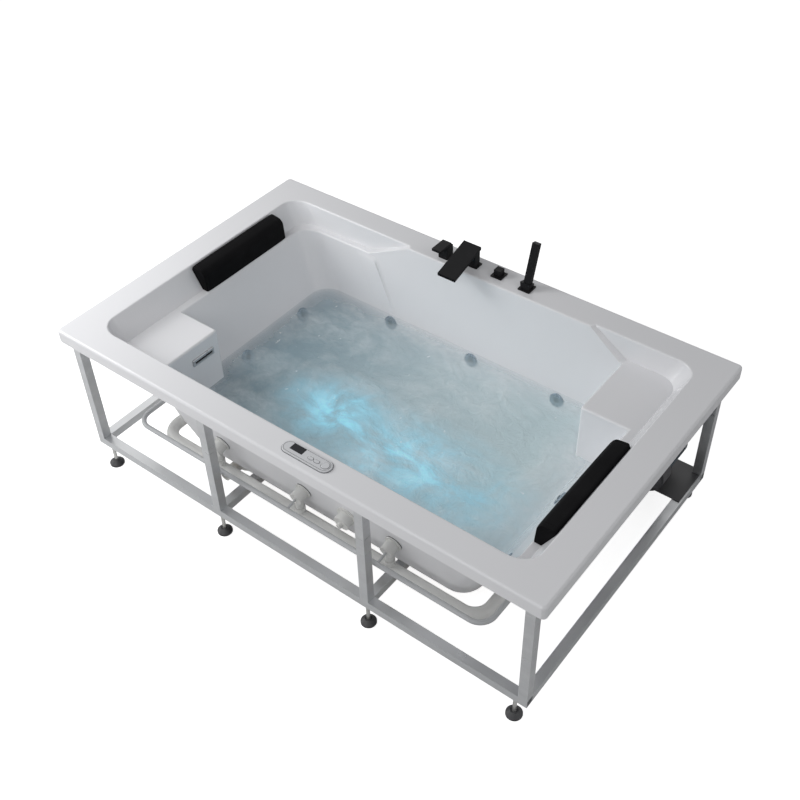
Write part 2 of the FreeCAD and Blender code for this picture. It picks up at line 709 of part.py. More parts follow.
# ================================================================ frame and feet
def box_tube(start, end):
    """A square steel tube between two points of its axis, open inside."""
    (x0, y0, z0), (x1, y1, z1) = start, end
    along = [x0 != x1, y0 != y1, z0 != z1]

    def bar(reach):
        grow = [0 if runs else reach for runs in along]
        return box(x0 - grow[0], x1 + grow[0], y0 - grow[1], y1 + grow[1], z0 - grow[2], z1 + grow[2])
    return bar(TUBE / 2).cut(bar(TUBE / 2 - TUBE_WALL))


def four_corners(x, y):
    return [(side_x * x, side_y * y) for side_x in (-1, 1) for side_y in (-1, 1)]


POST_PLACES = four_corners(END_RAIL_X, RAIL_Y) + four_corners(MIDDLE_RAIL_X, RAIL_Y)
FOOT_PLACES = four_corners(END_RAIL_X - TUBE, RAIL_Y) + four_corners(MIDDLE_RAIL_X, RAIL_Y)


def long_rails():
    """Two rails along the tub, drilled from below for the feet's studs."""
    holes = [rod((x, y, RAIL_BOTTOM - PAST), (x, y, RAIL_BOTTOM + TUBE_WALL + PAST), STUD_R)
             for x, y in FOOT_PLACES]
    rails = [box_tube((-RAIL_END, y, RAIL_MIDDLE), (RAIL_END, y, RAIL_MIDDLE)) for y in (-RAIL_Y, RAIL_Y)]
    return group([rail.cut(holes) for rail in rails])


def rails_across(places, height):
    """Tubes between the long sides at some places along the tub."""
    reach = RAIL_Y - TUBE / 2
    return group([box_tube((x, -reach, height), (x, reach, height)) for x in places])


def posts():
    """Uprights from the long rails to the rim, each with a top plate."""
    plate_bottom = PLATE_TOP - TOP_PLATE
    uprights = []
    for x, y in POST_PLACES:
        tube = box_tube((x, y, BOARD_BOTTOM), (x, y, plate_bottom))
        plate = block((x, y), (2 * TUBE, TUBE), plate_bottom, PLATE_TOP)
        uprights.append(one_solid(tube.fuse(plate)))
    return group(uprights)


def rim_pads():
    return group([block(place, (2 * TUBE, TUBE), PLATE_TOP, RIM_UNDER) for place in POST_PLACES])


def base_board():
    """The board laminated under the basin's floor; it rests on the middle cross rails."""
    fall = BASIN_DEPTH - SHELF_DEPTH
    foot = BACKREST_X - BACKREST_LEAN * fall - FLOOR_ROUND
    side = FRONT_Y - FRONT_LEAN * fall - FLOOR_ROUND
    board = centred_pad((0, 0), (2 * foot, 2 * side), BOARD_BOTTOM, BOARD_BOTTOM + BOARD, FLOOR_ROUND)
    return board.cut(rod(DRAIN + (0,), DRAIN + (RIM_HEIGHT,), DRAIN_TAIL_R + WALL))


def foot_pads():
    """Round plastic feet, coned towards the stud."""
    pads = []
    step = FOOT_HEIGHT / 2
    for x, y in FOOT_PLACES:
        disc = rod((x, y, 0), (x, y, step), FOOT_R)
        cone = Part.makeCone(FOOT_R, STUD_R + FOOT_NECK, FOOT_HEIGHT, V(x, y, step))
        socket = rod((x, y, step), (x, y, 2 * FOOT_HEIGHT), STUD_R)
        pads.append(disc.fuse(cone).cut(socket).removeSplitter())
    return group(pads)


def foot_studs():
    return group([rod((x, y, FOOT_HEIGHT / 2), (x, y, RAIL_MIDDLE), STUD_R) for x, y in FOOT_PLACES])


def foot_nuts():
    """A lock nut under each rail and a nut welded inside it."""
    nuts = []
    for x, y in FOOT_PLACES:
        for low in (RAIL_BOTTOM - NUT_HEIGHT, RAIL_BOTTOM + TUBE_WALL):
            nut = hexagon(x, y, NUT_WIDTH, low, low + NUT_HEIGHT)
            nuts.append(nut.cut(rod((x, y, 0), (x, y, RIM_HEIGHT), STUD_R)))
    return group(nuts)


# ================================================================ jets
def jet_face():
    """The round flange and barrel that clamp the wall and hold the ball."""
    flange = rounded_top(rod((0, 0, 0), (0, 0, JET_FLANGE), JET_R), JET_FLANGE / 2, JET_FLANGE)
    barrel = rod((0, 0, -BARREL_LENGTH), (0, 0, 0), BARREL_R)
    seat = Part.makeSphere(BALL_R + RUNNING_FIT, V(0, 0, -BALL_DEPTH))
    bore = rod((0, 0, -BARREL_LENGTH - PAST), (0, 0, -BALL_DEPTH), BALL_R - BALL_WALL)
    half = JET_FLANGE / 2
    mouth = Part.makeCone(BALL_R - MOUTH_EDGE, BALL_R, half + PAST, V(0, 0, half))
    return one_solid(flange.fuse(barrel).cut(seat).cut(bore).cut(mouth))


def jet_nozzle():
    """The ball that turns in the jet's face, cut flat behind, with its outlet snout."""
    back = -BALL_R - 2 * BALL_DEPTH
    ball = Part.makeSphere(BALL_R, V(0, 0, -BALL_DEPTH))
    ball = ball.cut(block((0, 0), (2 * BALL_R, 2 * BALL_R), back, -BALL_R / 2 - BALL_DEPTH))
    snout = rod((0, 0, -BALL_DEPTH), (0, 0, SNOUT_REACH), SNOUT_R)
    bore = rod((0, 0, back), (0, 0, SNOUT_REACH + PAST), NOZZLE_BORE)
    return one_solid(ball.fuse(snout).cut(bore))


def jet_gasket():
    return ring((0, 0, BODY_FRONT), (0, 0, -WALL), SEAL_R, BARREL_R + HOLE_PLAY)


def jet_envelope():
    """The outside of a jet body, without its bores."""
    flange = rod((0, 0, BODY_FRONT - BODY_FLANGE), (0, 0, BODY_FRONT), SEAL_R)
    return flange.fuse(rod((0, 0, -BODY_BACK), (0, 0, BODY_FRONT), BODY_R))


def water_stub(point, normal):
    """Where a jet's water stub hangs down from its chamber: its top and bottom ends."""
    top = point - normal * CHAMBER_DEPTH
    return top, V(top.x, top.y, MANIFOLD_Z + MANIFOLD_R + STUB_ABOVE)


def jet_body(point, normal):
    """The chamber behind a jet, with its water stub down and its air hole behind."""
    top, bottom = water_stub(point, normal)
    outside = placed(jet_envelope(), point, normal).fuse(rod(top, bottom, STUB_R))
    chamber = rod((0, 0, BODY_FLANGE - BODY_BACK), (0, 0, 0), BARREL_R)
    air_hole = rod((0, 0, -BODY_BACK - PAST), (0, 0, 0), AIR_R / 4)
    outside = outside.cut(placed(chamber.fuse(air_hole), point, normal))
    return one_solid(outside.cut(rod(top, bottom - V(0, 0, PAST), STUB_BORE)))


def at_each_jet(piece):
    return group([placed(piece, point, normal) for _, point, normal in JETS])


def jet_points(row):
    """The points and the normal of the jets on one wall."""
    rows = [(point, normal) for name, point, normal in JETS if name.startswith(row)]
    return [point for point, _ in rows], rows[0][1]


def row_offset(row, behind, axis):
    """How far from the middle a point lies that is behind a wall's jets."""
    points, normal = jet_points(row)
    return getattr(points[0] - normal * behind, axis)


def ring_round(behind):
    """Where a pipe runs behind the jets: its back, front, left and right sides."""
    back, front = row_offset("back", behind, "y"), row_offset("front", behind, "y")
    left, right = row_offset("left", behind, "x"), row_offset("right", behind, "x")
    return back, front, left, right


def last_right_jet():
    return max(point.y for point in jet_points("right")[0])


def pressure_route():
    """From the pump's side along the back, round the left end and the front, to the last jet."""
    back, front, left, right = ring_round(CHAMBER_DEPTH)
    spots = [(MANIFOLD_START, back), (left, back), (left, front), (right, front),
             (right, last_right_jet() + 2 * STUB_R)]
    return [spot + (MANIFOLD_Z,) for spot in spots]


def pressure_manifold():
    """The water pipe along all the jets, with a riser to each jet's stub."""
    route = pressure_route()
    outside = pipe(route, MANIFOLD_R, MANIFOLD_BEND)
    inside = pipe(route, MANIFOLD_BORE, MANIFOLD_BEND)
    risers, stub_rooms = [], []
    for _, point, normal in JETS:
        _, end = water_stub(point, normal)
        axis = V(end.x, end.y, MANIFOLD_Z)
        risers.append(rod(axis, end + V(0, 0, RISER_LAP), STUB_R + RISER_WALL))
        stub_rooms.append(rod(end, end + V(0, 0, SLEEVE), STUB_R))
        stub_rooms.append(rod(axis, end, STUB_BORE))
    whole = outside.fuse(risers).cut(inside).cut(stub_rooms)
    end_x, end_y, end_z = route[-1]
    cap = rod((end_x, end_y - WALL, end_z), route[-1], MANIFOLD_BORE)
    return one_solid(whole.fuse(cap))


def air_route():
    """The air pipe behind the jets; its open end rises to just under the rim."""
    back, front, left, right = ring_round(BODY_BACK + AIR_OUT)
    closed_past, open_past = AIR_PAST_JET
    end = max(point.x for point in jet_points("back")[0]) + open_past
    spots = [(right, last_right_jet() + closed_past), (right, front), (left, front), (left, back)]
    spots.append((end, back))
    return [spot + (AIR_Z,) for spot in spots] + [(end, back, RIM_UNDER - AIR_END_DEPTH)]


def check_valve(x, y, z):
    """The valve on the air pipe's open end, with a narrower neck."""
    radius, length, neck = CHECK_VALVE
    top = z + length / 3
    return rod((x, y, top - length), (x, y, top), radius).fuse(rod((x, y, top), (x, y, top + neck), AIR_R))


def air_manifold():
    """The air pipe, a branch to the back of each jet and a check valve on its open end."""
    route = air_route()
    branches, bodies = [], []
    for _, point, normal in JETS:
        behind = point - normal * (BODY_BACK - BODY_FLANGE)
        outside = point - normal * (BODY_BACK + AIR_OUT)
        branches.append(rod(behind, V(outside.x, outside.y, AIR_Z), AIR_R / 2))
        bodies.append(placed(jet_envelope(), point, normal))
    whole = pipe(route, AIR_R, AIR_BEND).fuse(branches).cut(bodies)
    return one_solid(whole.fuse(check_valve(*route[-1])))


# ================================================================ suction and pump
def suction_cover():
    """The slotted dome over the pump's intake."""
    x, y, z = LEDGE_X, SUCTION_Y, PUMP[2]
    cover = rod((x, y, z), (x - SUCTION_COVER, y, z), SUCTION_R + SUCTION_RIM)
    cover = rounded(cover, SUCTION_COVER_ROUND, lambda edge: abs(middle(edge).x - x) > SUCTION_COVER / 2)
    length, height, pitch = SUCTION_SLOT
    slots = []
    for row in range(SUCTION_SLOTS):
        level = z + pitch * (row - (SUCTION_SLOTS - 1) / 2)
        slots.append(box(x - SUCTION_COVER - PAST, x - SUCTION_SLOT_DEPTH, y - length / 2, y + length / 2,
                         level - height / 2, level + height / 2))
    intake = rod((x - SUCTION_INTAKE, y, z), (x + PAST, y, z), PIPE_R)
    return one_solid(cover.cut(slots).cut(intake))


def suction_body():
    """The chamber behind the wall, with a flange on the wall and a stub to the pump's side."""
    x, y, z = LEDGE_X + WALL, SUCTION_Y, PUMP[2]
    chamber_end, stub_end = x + SUCTION_CHAMBER, x + SUCTION_CHAMBER + SUCTION_STUB
    flange = rod((x, y, z), (x + SUCTION_FLANGE, y, z), SUCTION_R + SUCTION_RIM)
    chamber = rod((x, y, z), (chamber_end, y, z), SUCTION_R)
    neck = rod((x - WALL, y, z), (x, y, z), PIPE_R + HOLE_PLAY)
    stub = rod((chamber_end, y, z), (stub_end, y, z), PIPE_R)
    wide_room = rod((x - WALL - PAST, y, z), (chamber_end - SUCTION_FLANGE, y, z), PIPE_BORE)
    stub_room = rod((x, y, z), (stub_end + PAST, y, z), PIPE_BORE - TUBE_WALL)
    return one_solid(flange.fuse([chamber, neck, stub]).cut([wide_room, stub_room]))


def suction_pipe():
    x, y, z = PUMP
    start = (LEDGE_X + WALL + SUCTION_CHAMBER + SUCTION_STUB, SUCTION_Y, z)
    route = [start, (x, SUCTION_Y, z), (x, y - INLET_STUB, z)]
    return hollow_pipe(route, PIPE_R, PIPE_BORE, PUMP_BEND)


def pump_volute():
    """The pump's wet end: the volute with its axial inlet and its outlet along the bottom."""
    x, y, z = PUMP
    middle_y = y + VOLUTE_WIDTH / 2
    small, large, length = VOLUTE_FACE
    drum = rod((x, y, z), (x, y + VOLUTE_WIDTH, z), VOLUTE_R)
    front_ring = Part.makeCone(small, large, length, V(x, y - length, z), V(0, 1, 0))
    inlet = rod((x, y - INLET_STUB, z), (x, y, z), PIPE_R)
    outlet = rod((x, middle_y, MANIFOLD_Z), (OUTLET_X, middle_y, MANIFOLD_Z), PIPE_R)
    whole = drum.fuse([front_ring, inlet, outlet])
    rooms = [
        rod((x, y - INLET_STUB - PAST, z), (x, y + VOLUTE_WALL, z), PIPE_BORE),
        rod((x, y + length, z), (x, y + VOLUTE_WIDTH - length, z), VOLUTE_R - VOLUTE_WALL),
        rod((x, middle_y, MANIFOLD_Z), (OUTLET_X - PAST, middle_y, MANIFOLD_Z), OUTLET_BORE)]
    return one_solid(whole.cut(rooms))


def motor_fins(x, z, start, end):
    """Cooling fins all round the motor's axis."""
    fins = []
    for angle in range(0, 180, FIN_PITCH):
        fin = box(x - MOTOR_R, x + MOTOR_R, start, end, z - FIN_WIDTH / 2, z + FIN_WIDTH / 2)
        fin.rotate(V(x, start, z), V(0, 1, 0), angle)
        fins.append(fin)
    return fins


def pump_motor():
    """The motor with its cooling fins, its fan cover and the box of its terminals."""
    x, y, z = PUMP
    start = y + VOLUTE_WIDTH
    end = start + MOTOR_LENGTH
    core = rod((x, start, z), (x, end, z), MOTOR_R - FIN_DEPTH)
    flange = rod((x, start, z), (x, start + MOTOR_FLANGE, z), MOTOR_R)
    cover = rod((x, end, z), (x, end + FAN_COVER_LENGTH, z), MOTOR_R)
    across, along, above = TERMINAL_BOX
    box_start = start + TERMINAL_START
    terminals = box(x - across / 2, x + across / 2, box_start, box_start + along, z, z + MOTOR_R + above)
    fins = motor_fins(x, z, start + MOTOR_FLANGE, end)
    return one_solid(core.fuse([flange, cover, terminals] + fins))


def pump_bracket():
    """A folded plate on the long rail and the end cross rail, with two cradles for the motor."""
    x, y, z = PUMP
    plate_start = y + VOLUTE_WIDTH
    start = plate_start + CRADLE_START
    half = CRADLE_WIDTH / 2
    plate = box(x - BRACKET_SIDE, END_RAIL_X + BRACKET_LAP, plate_start, RAIL_Y + BRACKET_LAP,
                BOARD_BOTTOM, BOARD_BOTTOM + BRACKET_PLATE)
    post_room = box(END_RAIL_X - TUBE / 2, HALF_L, RAIL_Y - TUBE / 2, HALF_W, 0, RIM_HEIGHT)
    cradles = [box(x - half, x + half, at, at + BRACKET_PLATE, BOARD_BOTTOM, z)
               for at in (start, start + CRADLE_WIDTH)]
    motor = rod((x, 0, z), (x, HALF_W, z), MOTOR_R)
    return one_solid(plate.cut(post_room).fuse(cradles).cut(motor))


def union_nuts():
    """The big ring nuts on the pump's two ends."""
    x, y, z = PUMP
    middle_y = y + VOLUTE_WIDTH / 2
    inlet_end = y - INLET_STUB
    back, ahead = UNION_LENGTH / 2, UNION_LENGTH / 2 - UNION_LIP
    inlet_nut = ring((x, inlet_end - back, z), (x, inlet_end + ahead, z), UNION_R, PIPE_R)
    outlet_nut = ring((OUTLET_X - back, middle_y, MANIFOLD_Z), (OUTLET_X + ahead, middle_y, MANIFOLD_Z),
                      UNION_R, PIPE_R)
    return group([inlet_nut, outlet_nut])


def pump_outlet_pipe():
    """From the volute's outlet round to the start of the water pipe along the back."""
    back = row_offset("back", CHAMBER_DEPTH, "y")
    run_x = LEDGE_X + OUTLET_RUN
    middle_y = PUMP[1] + VOLUTE_WIDTH / 2
    spots = [(OUTLET_X, middle_y), (run_x, middle_y), (run_x, back), (MANIFOLD_START, back)]
    return hollow_pipe([spot + (MANIFOLD_Z,) for spot in spots], PIPE_R, PIPE_BORE, PUMP_BEND)


# ================================================================ underwater light
def light_bezel():
    outer = LENS_R + LIGHT_BEZEL
    collar = ring((0, 0, 0), (0, 0, LIGHT_FRONT), outer, LENS_R)
    lip = ring((0, 0, LIGHT_FRONT - LIGHT_LIP), (0, 0, LIGHT_FRONT), outer, LENS_R - LIGHT_BEZEL_LAP)

    def outer_edge(edge):
        return at_height(edge, LIGHT_FRONT) and edge.Length > 2 * math.pi * LENS_R
    return rounded(one_solid(collar.fuse(lip)), LIGHT_ROUND, outer_edge)


def light_body():
    """The lamp's body behind the wall, with its nut and its cable gland."""
    gland_r, gland_length = LIGHT_GLAND
    body = rod((0, 0, -LIGHT_DEPTH), (0, 0, 0), LIGHT_BODY_R)
    nut = rod((0, 0, -WALL - LIGHT_NUT), (0, 0, -WALL), LENS_R + LIGHT_NUT)
    gland = rod((0, 0, -LIGHT_DEPTH - gland_length), (0, 0, -LIGHT_DEPTH), gland_r)
    return one_solid(body.fuse([nut, gland]))


def light_lens():
    return rod((0, 0, 0), (0, 0, LIGHT_FRONT - LIGHT_LIP), LENS_R)


# ================================================================ waste and overflow
def plug_guide():
    """Three arms and a hub that guide the plug's stem."""
    x, y = DRAIN
    top = BOARD_BOTTOM + GUIDE_HEIGHT
    reach, half = DRAIN_TAIL_R - DRAIN_WALL / 2, GUIDE_ARM / 2
    arms = [rod((x, y, BOARD_BOTTOM), (x, y, top), GUIDE_HUB)]
    for angle in (0, 120, 240):
        arm = box(x, x + reach, y - half, y + half, BOARD_BOTTOM, top)
        arm.rotate(V(x, y, 0), V(0, 0, 1), angle)
        arms.append(arm)
    return arms


def drain_flange():
    """The threaded waste through the floor, with the guide for the plug's stem."""
    x, y = DRAIN
    beyond, _, edge_round = DRAIN_FLANGE
    flange = rod((x, y, FLOOR_HEIGHT), (x, y, FLANGE_TOP), DRAIN_TAIL_R + beyond)
    flange = rounded_top(flange, edge_round, FLANGE_TOP)
    tail = rod((x, y, WASTE_Z - DRAIN_LAP), (x, y, FLOOR_HEIGHT), DRAIN_TAIL_R)
    whole = flange.fuse(tail).cut(rod((x, y, 0), (x, y, FLANGE_TOP + PAST), DRAIN_TAIL_R - DRAIN_WALL))
    return one_solid(whole.fuse(plug_guide()).cut(rod((x, y, 0), (x, y, FLANGE_TOP), STEM_R + RUNNING_FIT)))


def drain_plug():
    """The plug's cap and the stem that slides in the guide."""
    x, y = DRAIN
    beyond, thick, edge_round = PLUG_CAP
    top = FLANGE_TOP + thick
    cap = rounded_top(rod((x, y, FLANGE_TOP), (x, y, top), DRAIN_TAIL_R + beyond), edge_round, top)
    return one_solid(cap.fuse(rod((x, y, BOARD_BOTTOM - STEM_BELOW), (x, y, FLANGE_TOP), STEM_R)))


def drain_tail():
    """The cup trap under the waste, with the overflow's inlet and the outlet to the drains."""
    x, y = DRAIN
    low = TRAP_BOTTOM + TRAP_FLOOR
    side = x - TRAP_R - TRAP_INLET
    cup = rounded_top(rod((x, y, TRAP_BOTTOM), (x, y, BOARD_BOTTOM), TRAP_R), TRAP_ROUND, TRAP_BOTTOM)
    round_it, beyond = OUTLET_COLLAR
    outlet = rod((x, y, OUTLET_Z), (x, y - OUTLET_REACH, OUTLET_Z), OUTLET_R)
    collar = rod((x, y, OUTLET_Z), (x, y - TRAP_R - beyond, OUTLET_Z), OUTLET_R + round_it)
    inlet = rod((x, y, WASTE_Z), (side, y, WASTE_Z), OVERFLOW_PIPE_R + DRAIN_WALL)
    rooms = [
        rod((x, y, low), (x, y, WASTE_Z - DRAIN_LAP), TRAP_R - TRAP_WALL),
        rod((x, y, low), (x, y, BOARD_BOTTOM + PAST), DRAIN_TAIL_R),
        rod((x, y, OUTLET_Z), (x, y - OUTLET_REACH - PAST, OUTLET_Z), OUTLET_R - OUTLET_WALL),
        rod((x - DRAIN_TAIL_R - TRAP_INLET_LAP, y, WASTE_Z), (side - PAST, y, WASTE_Z), OVERFLOW_PIPE_R)]
    return one_solid(cup.fuse([outlet, collar, inlet]).cut(rooms))


def wall_box(x, size, centre, out):
    """A box that stands on the upright plane at x, out along X; its size is along Y and Z."""
    (width, height), (y, z) = size, centre
    low, high = min(x, x + out), max(x, x + out)
    return box(low, high, y - width / 2, y + width / 2, z - height / 2, z + height / 2)


def overflow_cover():
    """The slotted plate over the overflow, hollow behind."""
    x, centre = OVERFLOW[0], OVERFLOW[1:]
    width, height, thick = OVERFLOW_COVER
    side, edge_wall, edge_round = OVERFLOW_COVER_WALL
    cover = wall_box(x, (width, height), centre, thick)
    cover = rounded(cover, edge_round, lambda edge: abs(middle(edge).x - x) > 0.1)
    hollow = wall_box(x - PAST, (width - 2 * side, height - 2 * edge_wall), centre, thick / 2 + PAST)
    return one_solid(cover.cut(hollow).cut(wall_box(x, OVERFLOW_COVER_SLOT, centre, thick + PAST)))


def overflow_body():
    """The chamber behind the overflow's slot, with its spigot down."""
    _, y, z = OVERFLOW
    centre = OVERFLOW[1:]
    x = OVERFLOW[0] - WALL
    width, height, deep = OVERFLOW_CASE
    flange_w, flange_h, flange = OVERFLOW_FLANGE
    back, length, spigot_wall = OVERFLOW_SPIGOT
    wall_2 = 2 * OVERFLOW_CASE_WALL
    spigot = rod((x - back, y, z), (x - back, y, z - length), OVERFLOW_PIPE_R)
    whole = wall_box(x, (flange_w, flange_h), centre, -flange)
    whole = whole.fuse([wall_box(x, (width, height), centre, -deep), spigot])
    rooms = [wall_box(x + PAST, (width - wall_2, height - wall_2), centre, OVERFLOW_CASE_WALL - deep - PAST),
             rod((x - back, y, z), (x - back, y, z - length - PAST), OVERFLOW_PIPE_R - spigot_wall)]
    return one_solid(whole.cut(rooms))


def overflow_pipe():
    """The pipe from the overflow down and across to the trap."""
    back, length, _ = OVERFLOW_SPIGOT
    x, y, z = OVERFLOW[0] - WALL - back, OVERFLOW[1], OVERFLOW[2] - length
    side = DRAIN[1]
    route = [(x, y, z), (x, side, WASTE_Z), (DRAIN[0] - TRAP_R + OVERFLOW_LAP, side, WASTE_Z)]
    return hollow_pipe(route, OVERFLOW_PIPE_R, OVERFLOW_PIPE_R - OVERFLOW_PIPE_WALL, OVERFLOW_BEND)


# ================================================================ deck taps
def shank(place, radius):
    x, y = place
    return rod((x, y, SHANK_END), (x, y, RIM_HEIGHT), radius)


def base_plate(place, size):
    return centred_pad(place, size, RIM_HEIGHT, RIM_HEIGHT + BASE_PLATE, BASE_ROUND)


def mixer_body():
    """The square mixer, its shank and the block with the two supply inlets."""
    x, y = MIXER
    across, deep, height = INLET_BLOCK
    low = SHANK_END - height
    body = square_pad(MIXER, MIXER_SIDE, RIM_HEIGHT, MIXER_TOP, BASE_ROUND)
    body = rounded_top(body, MIXER_EDGE, MIXER_TOP)
    pieces = [shank(MIXER, SHANK_R), block(MIXER, (across, deep), low, SHANK_END)]
    for side in (-TAIL_PITCH / 2, TAIL_PITCH / 2):
        pieces.append(rod((x + side, y, low), (x + side, y, low - TAIL_PIN_LENGTH), TAIL_PIN_R))
    room = rod((x, y, MIXER_TOP - CARTRIDGE_DEPTH), (x, y, MIXER_TOP + PAST), SPINDLE_R + RUNNING_FIT)
    return one_solid(body.fuse(pieces).cut(room))


def lever_pin(extra):
    """The pin that the lever turns on, or with extra its hole."""
    x, half = MIXER[0], PIN_LENGTH / 2
    return rod((x - half,) + LEVER_AXIS, (x + half,) + LEVER_AXIS, PIN_R + extra)


def mixer_spindle():
    """The cartridge's spindle: it swivels in the body and its lug carries the lever."""
    x, y = MIXER
    axis_y, axis_z = LEVER_AXIS
    across, along, above = LUG
    drum = rod((x, y, MIXER_TOP - CARTRIDGE_DEPTH), (x, y, MIXER_TOP), SPINDLE_R)
    lug = block((x, axis_y), (across, along), MIXER_TOP - LUG_SUNK, axis_z + above)
    return one_solid(drum.fuse(lug).cut(lever_pin(RUNNING_FIT)))


def mixer_lever():
    """The flat lever, pinned to the spindle's lug in a pocket under its rear end."""
    x, y = MIXER
    axis_y, axis_z = LEVER_AXIS
    width, length, thick = LEVER
    side_round, top_round = LEVER_ROUND
    before, behind, above = LUG_ROOM
    top, rear = LEVER_LOW + thick, y + LEVER_REAR
    plate = pad(x - width / 2, x + width / 2, rear - length, rear, LEVER_LOW, top, side_round)
    plate = rounded_top(plate, top_round, top)
    half = LUG[0] / 2 + LUG_SIDE_GAP
    room = box(x - half, x + half, axis_y - before, rear + behind, LEVER_LOW - PAST, axis_z + above)
    return one_solid(plate.cut(room).fuse(lever_pin(0)))


def spout():
    """The waterfall spout: a base, a post and a sloping plate with a slot along its front end."""
    x, y = SPOUT
    rear, front = y + SPOUT_REAR, y - SPOUT_FRONT
    rear_top, front_top = RIM_HEIGHT + SPOUT_REAR_HEIGHT, RIM_HEIGHT + SPOUT_FRONT_HEIGHT
    slope = (rear_top - front_top) / (rear - front)

    def sheet(width, y0, y1, below, thick):
        """A sloping plate between two places along Y, below the spout's upper face."""
        high = [front_top + slope * (at - front) - below for at in (y0, y1)]
        left = x - width / 2
        side = [V(left, y0, high[0]), V(left, y1, high[1]), V(left, y1, high[1] - thick),
                V(left, y0, high[0] - thick)]
        return face(side).extrude(V(width, 0, 0))
    plate = sheet(SPOUT_WIDTH, front, rear, 0, SPOUT_THICK)
    plate = rounded(plate, SPOUT_EDGE, lambda edge: abs(middle(edge).x - x) > SPOUT_WIDTH / 2 - 1)
    post_width, post_reach, post_below = SPOUT_POST
    half = post_width / 2
    post = box(x - half, x + half, y - post_reach, rear, RIM_HEIGHT, rear_top - post_below)
    mouth_width, mouth_height, mouth_below, mouth_depth = SPOUT_MOUTH
    mouth = sheet(mouth_width, front - PAST, front + mouth_depth, mouth_below, mouth_height)
    base = base_plate(SPOUT, (SPOUT_WIDTH, MIXER_SIDE))
    return one_solid(plate.fuse([post, base, shank(SPOUT, SHANK_R)]).cut(mouth))


def diverter_base():
    x, y = DIVERTER
    room = rod((x, y, RIM_HEIGHT - KNOB_SPINDLE_DEPTH), (x, y, RIM_HEIGHT + BASE_PLATE + PAST),
               KNOB_SPINDLE_R + RUNNING_FIT)
    whole = base_plate(DIVERTER, (DIVERTER_BASE, DIVERTER_BASE)).fuse(shank(DIVERTER, SHANK_R))
    return one_solid(whole.cut(room))


def diverter_knob():
    x, y = DIVERTER
    low, high = RIM_HEIGHT + BASE_PLATE + KNOB_GAP, RIM_HEIGHT + KNOB_TOP
    side_round, top_round = KNOB_ROUND
    knob = rounded_top(square_pad(DIVERTER, DIVERTER_KNOB, low, high, side_round), top_round, high)
    return one_solid(knob.fuse(rod((x, y, RIM_HEIGHT - KNOB_SPINDLE_DEPTH), (x, y, low), KNOB_SPINDLE_R)))


def along_stick(distance, across=0.0, forward=0.0):
    """A point on the hand shower's leaning axis, measured from the rim's top."""
    tilt = math.radians(HANDSET_TILT)
    x, y = HANDSET
    return V(x + across, y + distance * math.sin(tilt) + forward * math.cos(tilt),
             RIM_HEIGHT + distance * math.cos(tilt) - forward * math.sin(tilt))


def stick_section(size, distance, grow=0.0, shift=0.0):
    """A rectangle square to the leaning axis."""
    half_w, half_d = [side / 2 + grow for side in size]
    signs = ((-1, -1), (1, -1), (1, 1), (-1, 1))
    points = [along_stick(distance, shift + half_w * a, half_d * b) for a, b in signs]
    return Part.makePolygon(points + points[:1])


def handset_holder():
    """The square base with a short flared socket that leans back."""
    x, y = HANDSET
    socket = Part.makeLoft([stick_section(SOCKET_FOOT, 0),
                            stick_section(SOCKET_MOUTH, SOCKET_TOP, 0, SOCKET_SHIFT)], True, True)
    socket = socket.cut(square_box(HANDSET, 2 * HANDSET_BASE, 0, RIM_HEIGHT))
    base = base_plate(HANDSET, (HANDSET_BASE, HANDSET_BASE))
    whole = base.fuse([socket, shank(HANDSET, WIDE_SHANK_R)])
    room = Part.makeLoft([stick_section(STICK, STICK_FROM - BODY_GAP, BODY_GAP),
                          stick_section(STICK, SOCKET_TOP + BASE_PLATE + PAST, BODY_GAP)], True, True)
    tail_room = rod(along_stick(TAIL_FROM - BODY_GAP), along_stick(STICK_FROM + PAST), TAIL_R + RUNNING_FIT)
    hose_room = rod((x, y, 0), along_stick(0) - V(0, 0, HOSE_ROOM_TOP), TAIL_BORE)
    return one_solid(whole.cut([room, tail_room, hose_room]))


def handset():
    """The square stick hand shower with its round tail and its flat spray face."""
    front = -STICK[1] / 2
    stick = Part.makeLoft([stick_section(STICK, STICK_FROM), stick_section(STICK, STICK_TO)], True, True)
    stick = rounded(stick, STICK_ROUND, lambda edge: edge.Length > (STICK_TO - STICK_FROM) / 2)
    tail = rod(along_stick(TAIL_FROM), along_stick(STICK_FROM), TAIL_R)
    bore = rod(along_stick(TAIL_FROM - PAST), along_stick(TAIL_FROM + TAIL_BORE_DEPTH), TAIL_BORE)
    spray_at = STICK_TO - SPRAY_FROM_TOP
    outside, inside = front - PAST, front + SPRAY_DEPTH
    spray = rod(along_stick(spray_at, 0, outside), along_stick(spray_at, 0, inside), SPRAY_R)
    return one_solid(stick.fuse(tail).cut([bore, spray]))


def tap_washers():
    return group([ring((x, y, RIM_UNDER - WASHER), (x, y, RIM_UNDER), radius + WASHER_RIM, radius)
                  for (x, y), radius in SHANKS])


def tap_backnuts():
    top = RIM_UNDER - WASHER
    nuts = []
    for (x, y), radius in SHANKS:
        nut = hexagon(x, y, 2 * (radius + BACKNUT_RIM), top - BACKNUT, top)
        nuts.append(nut.cut(rod((x, y, 0), (x, y, RIM_HEIGHT), radius)))
    return group(nuts)


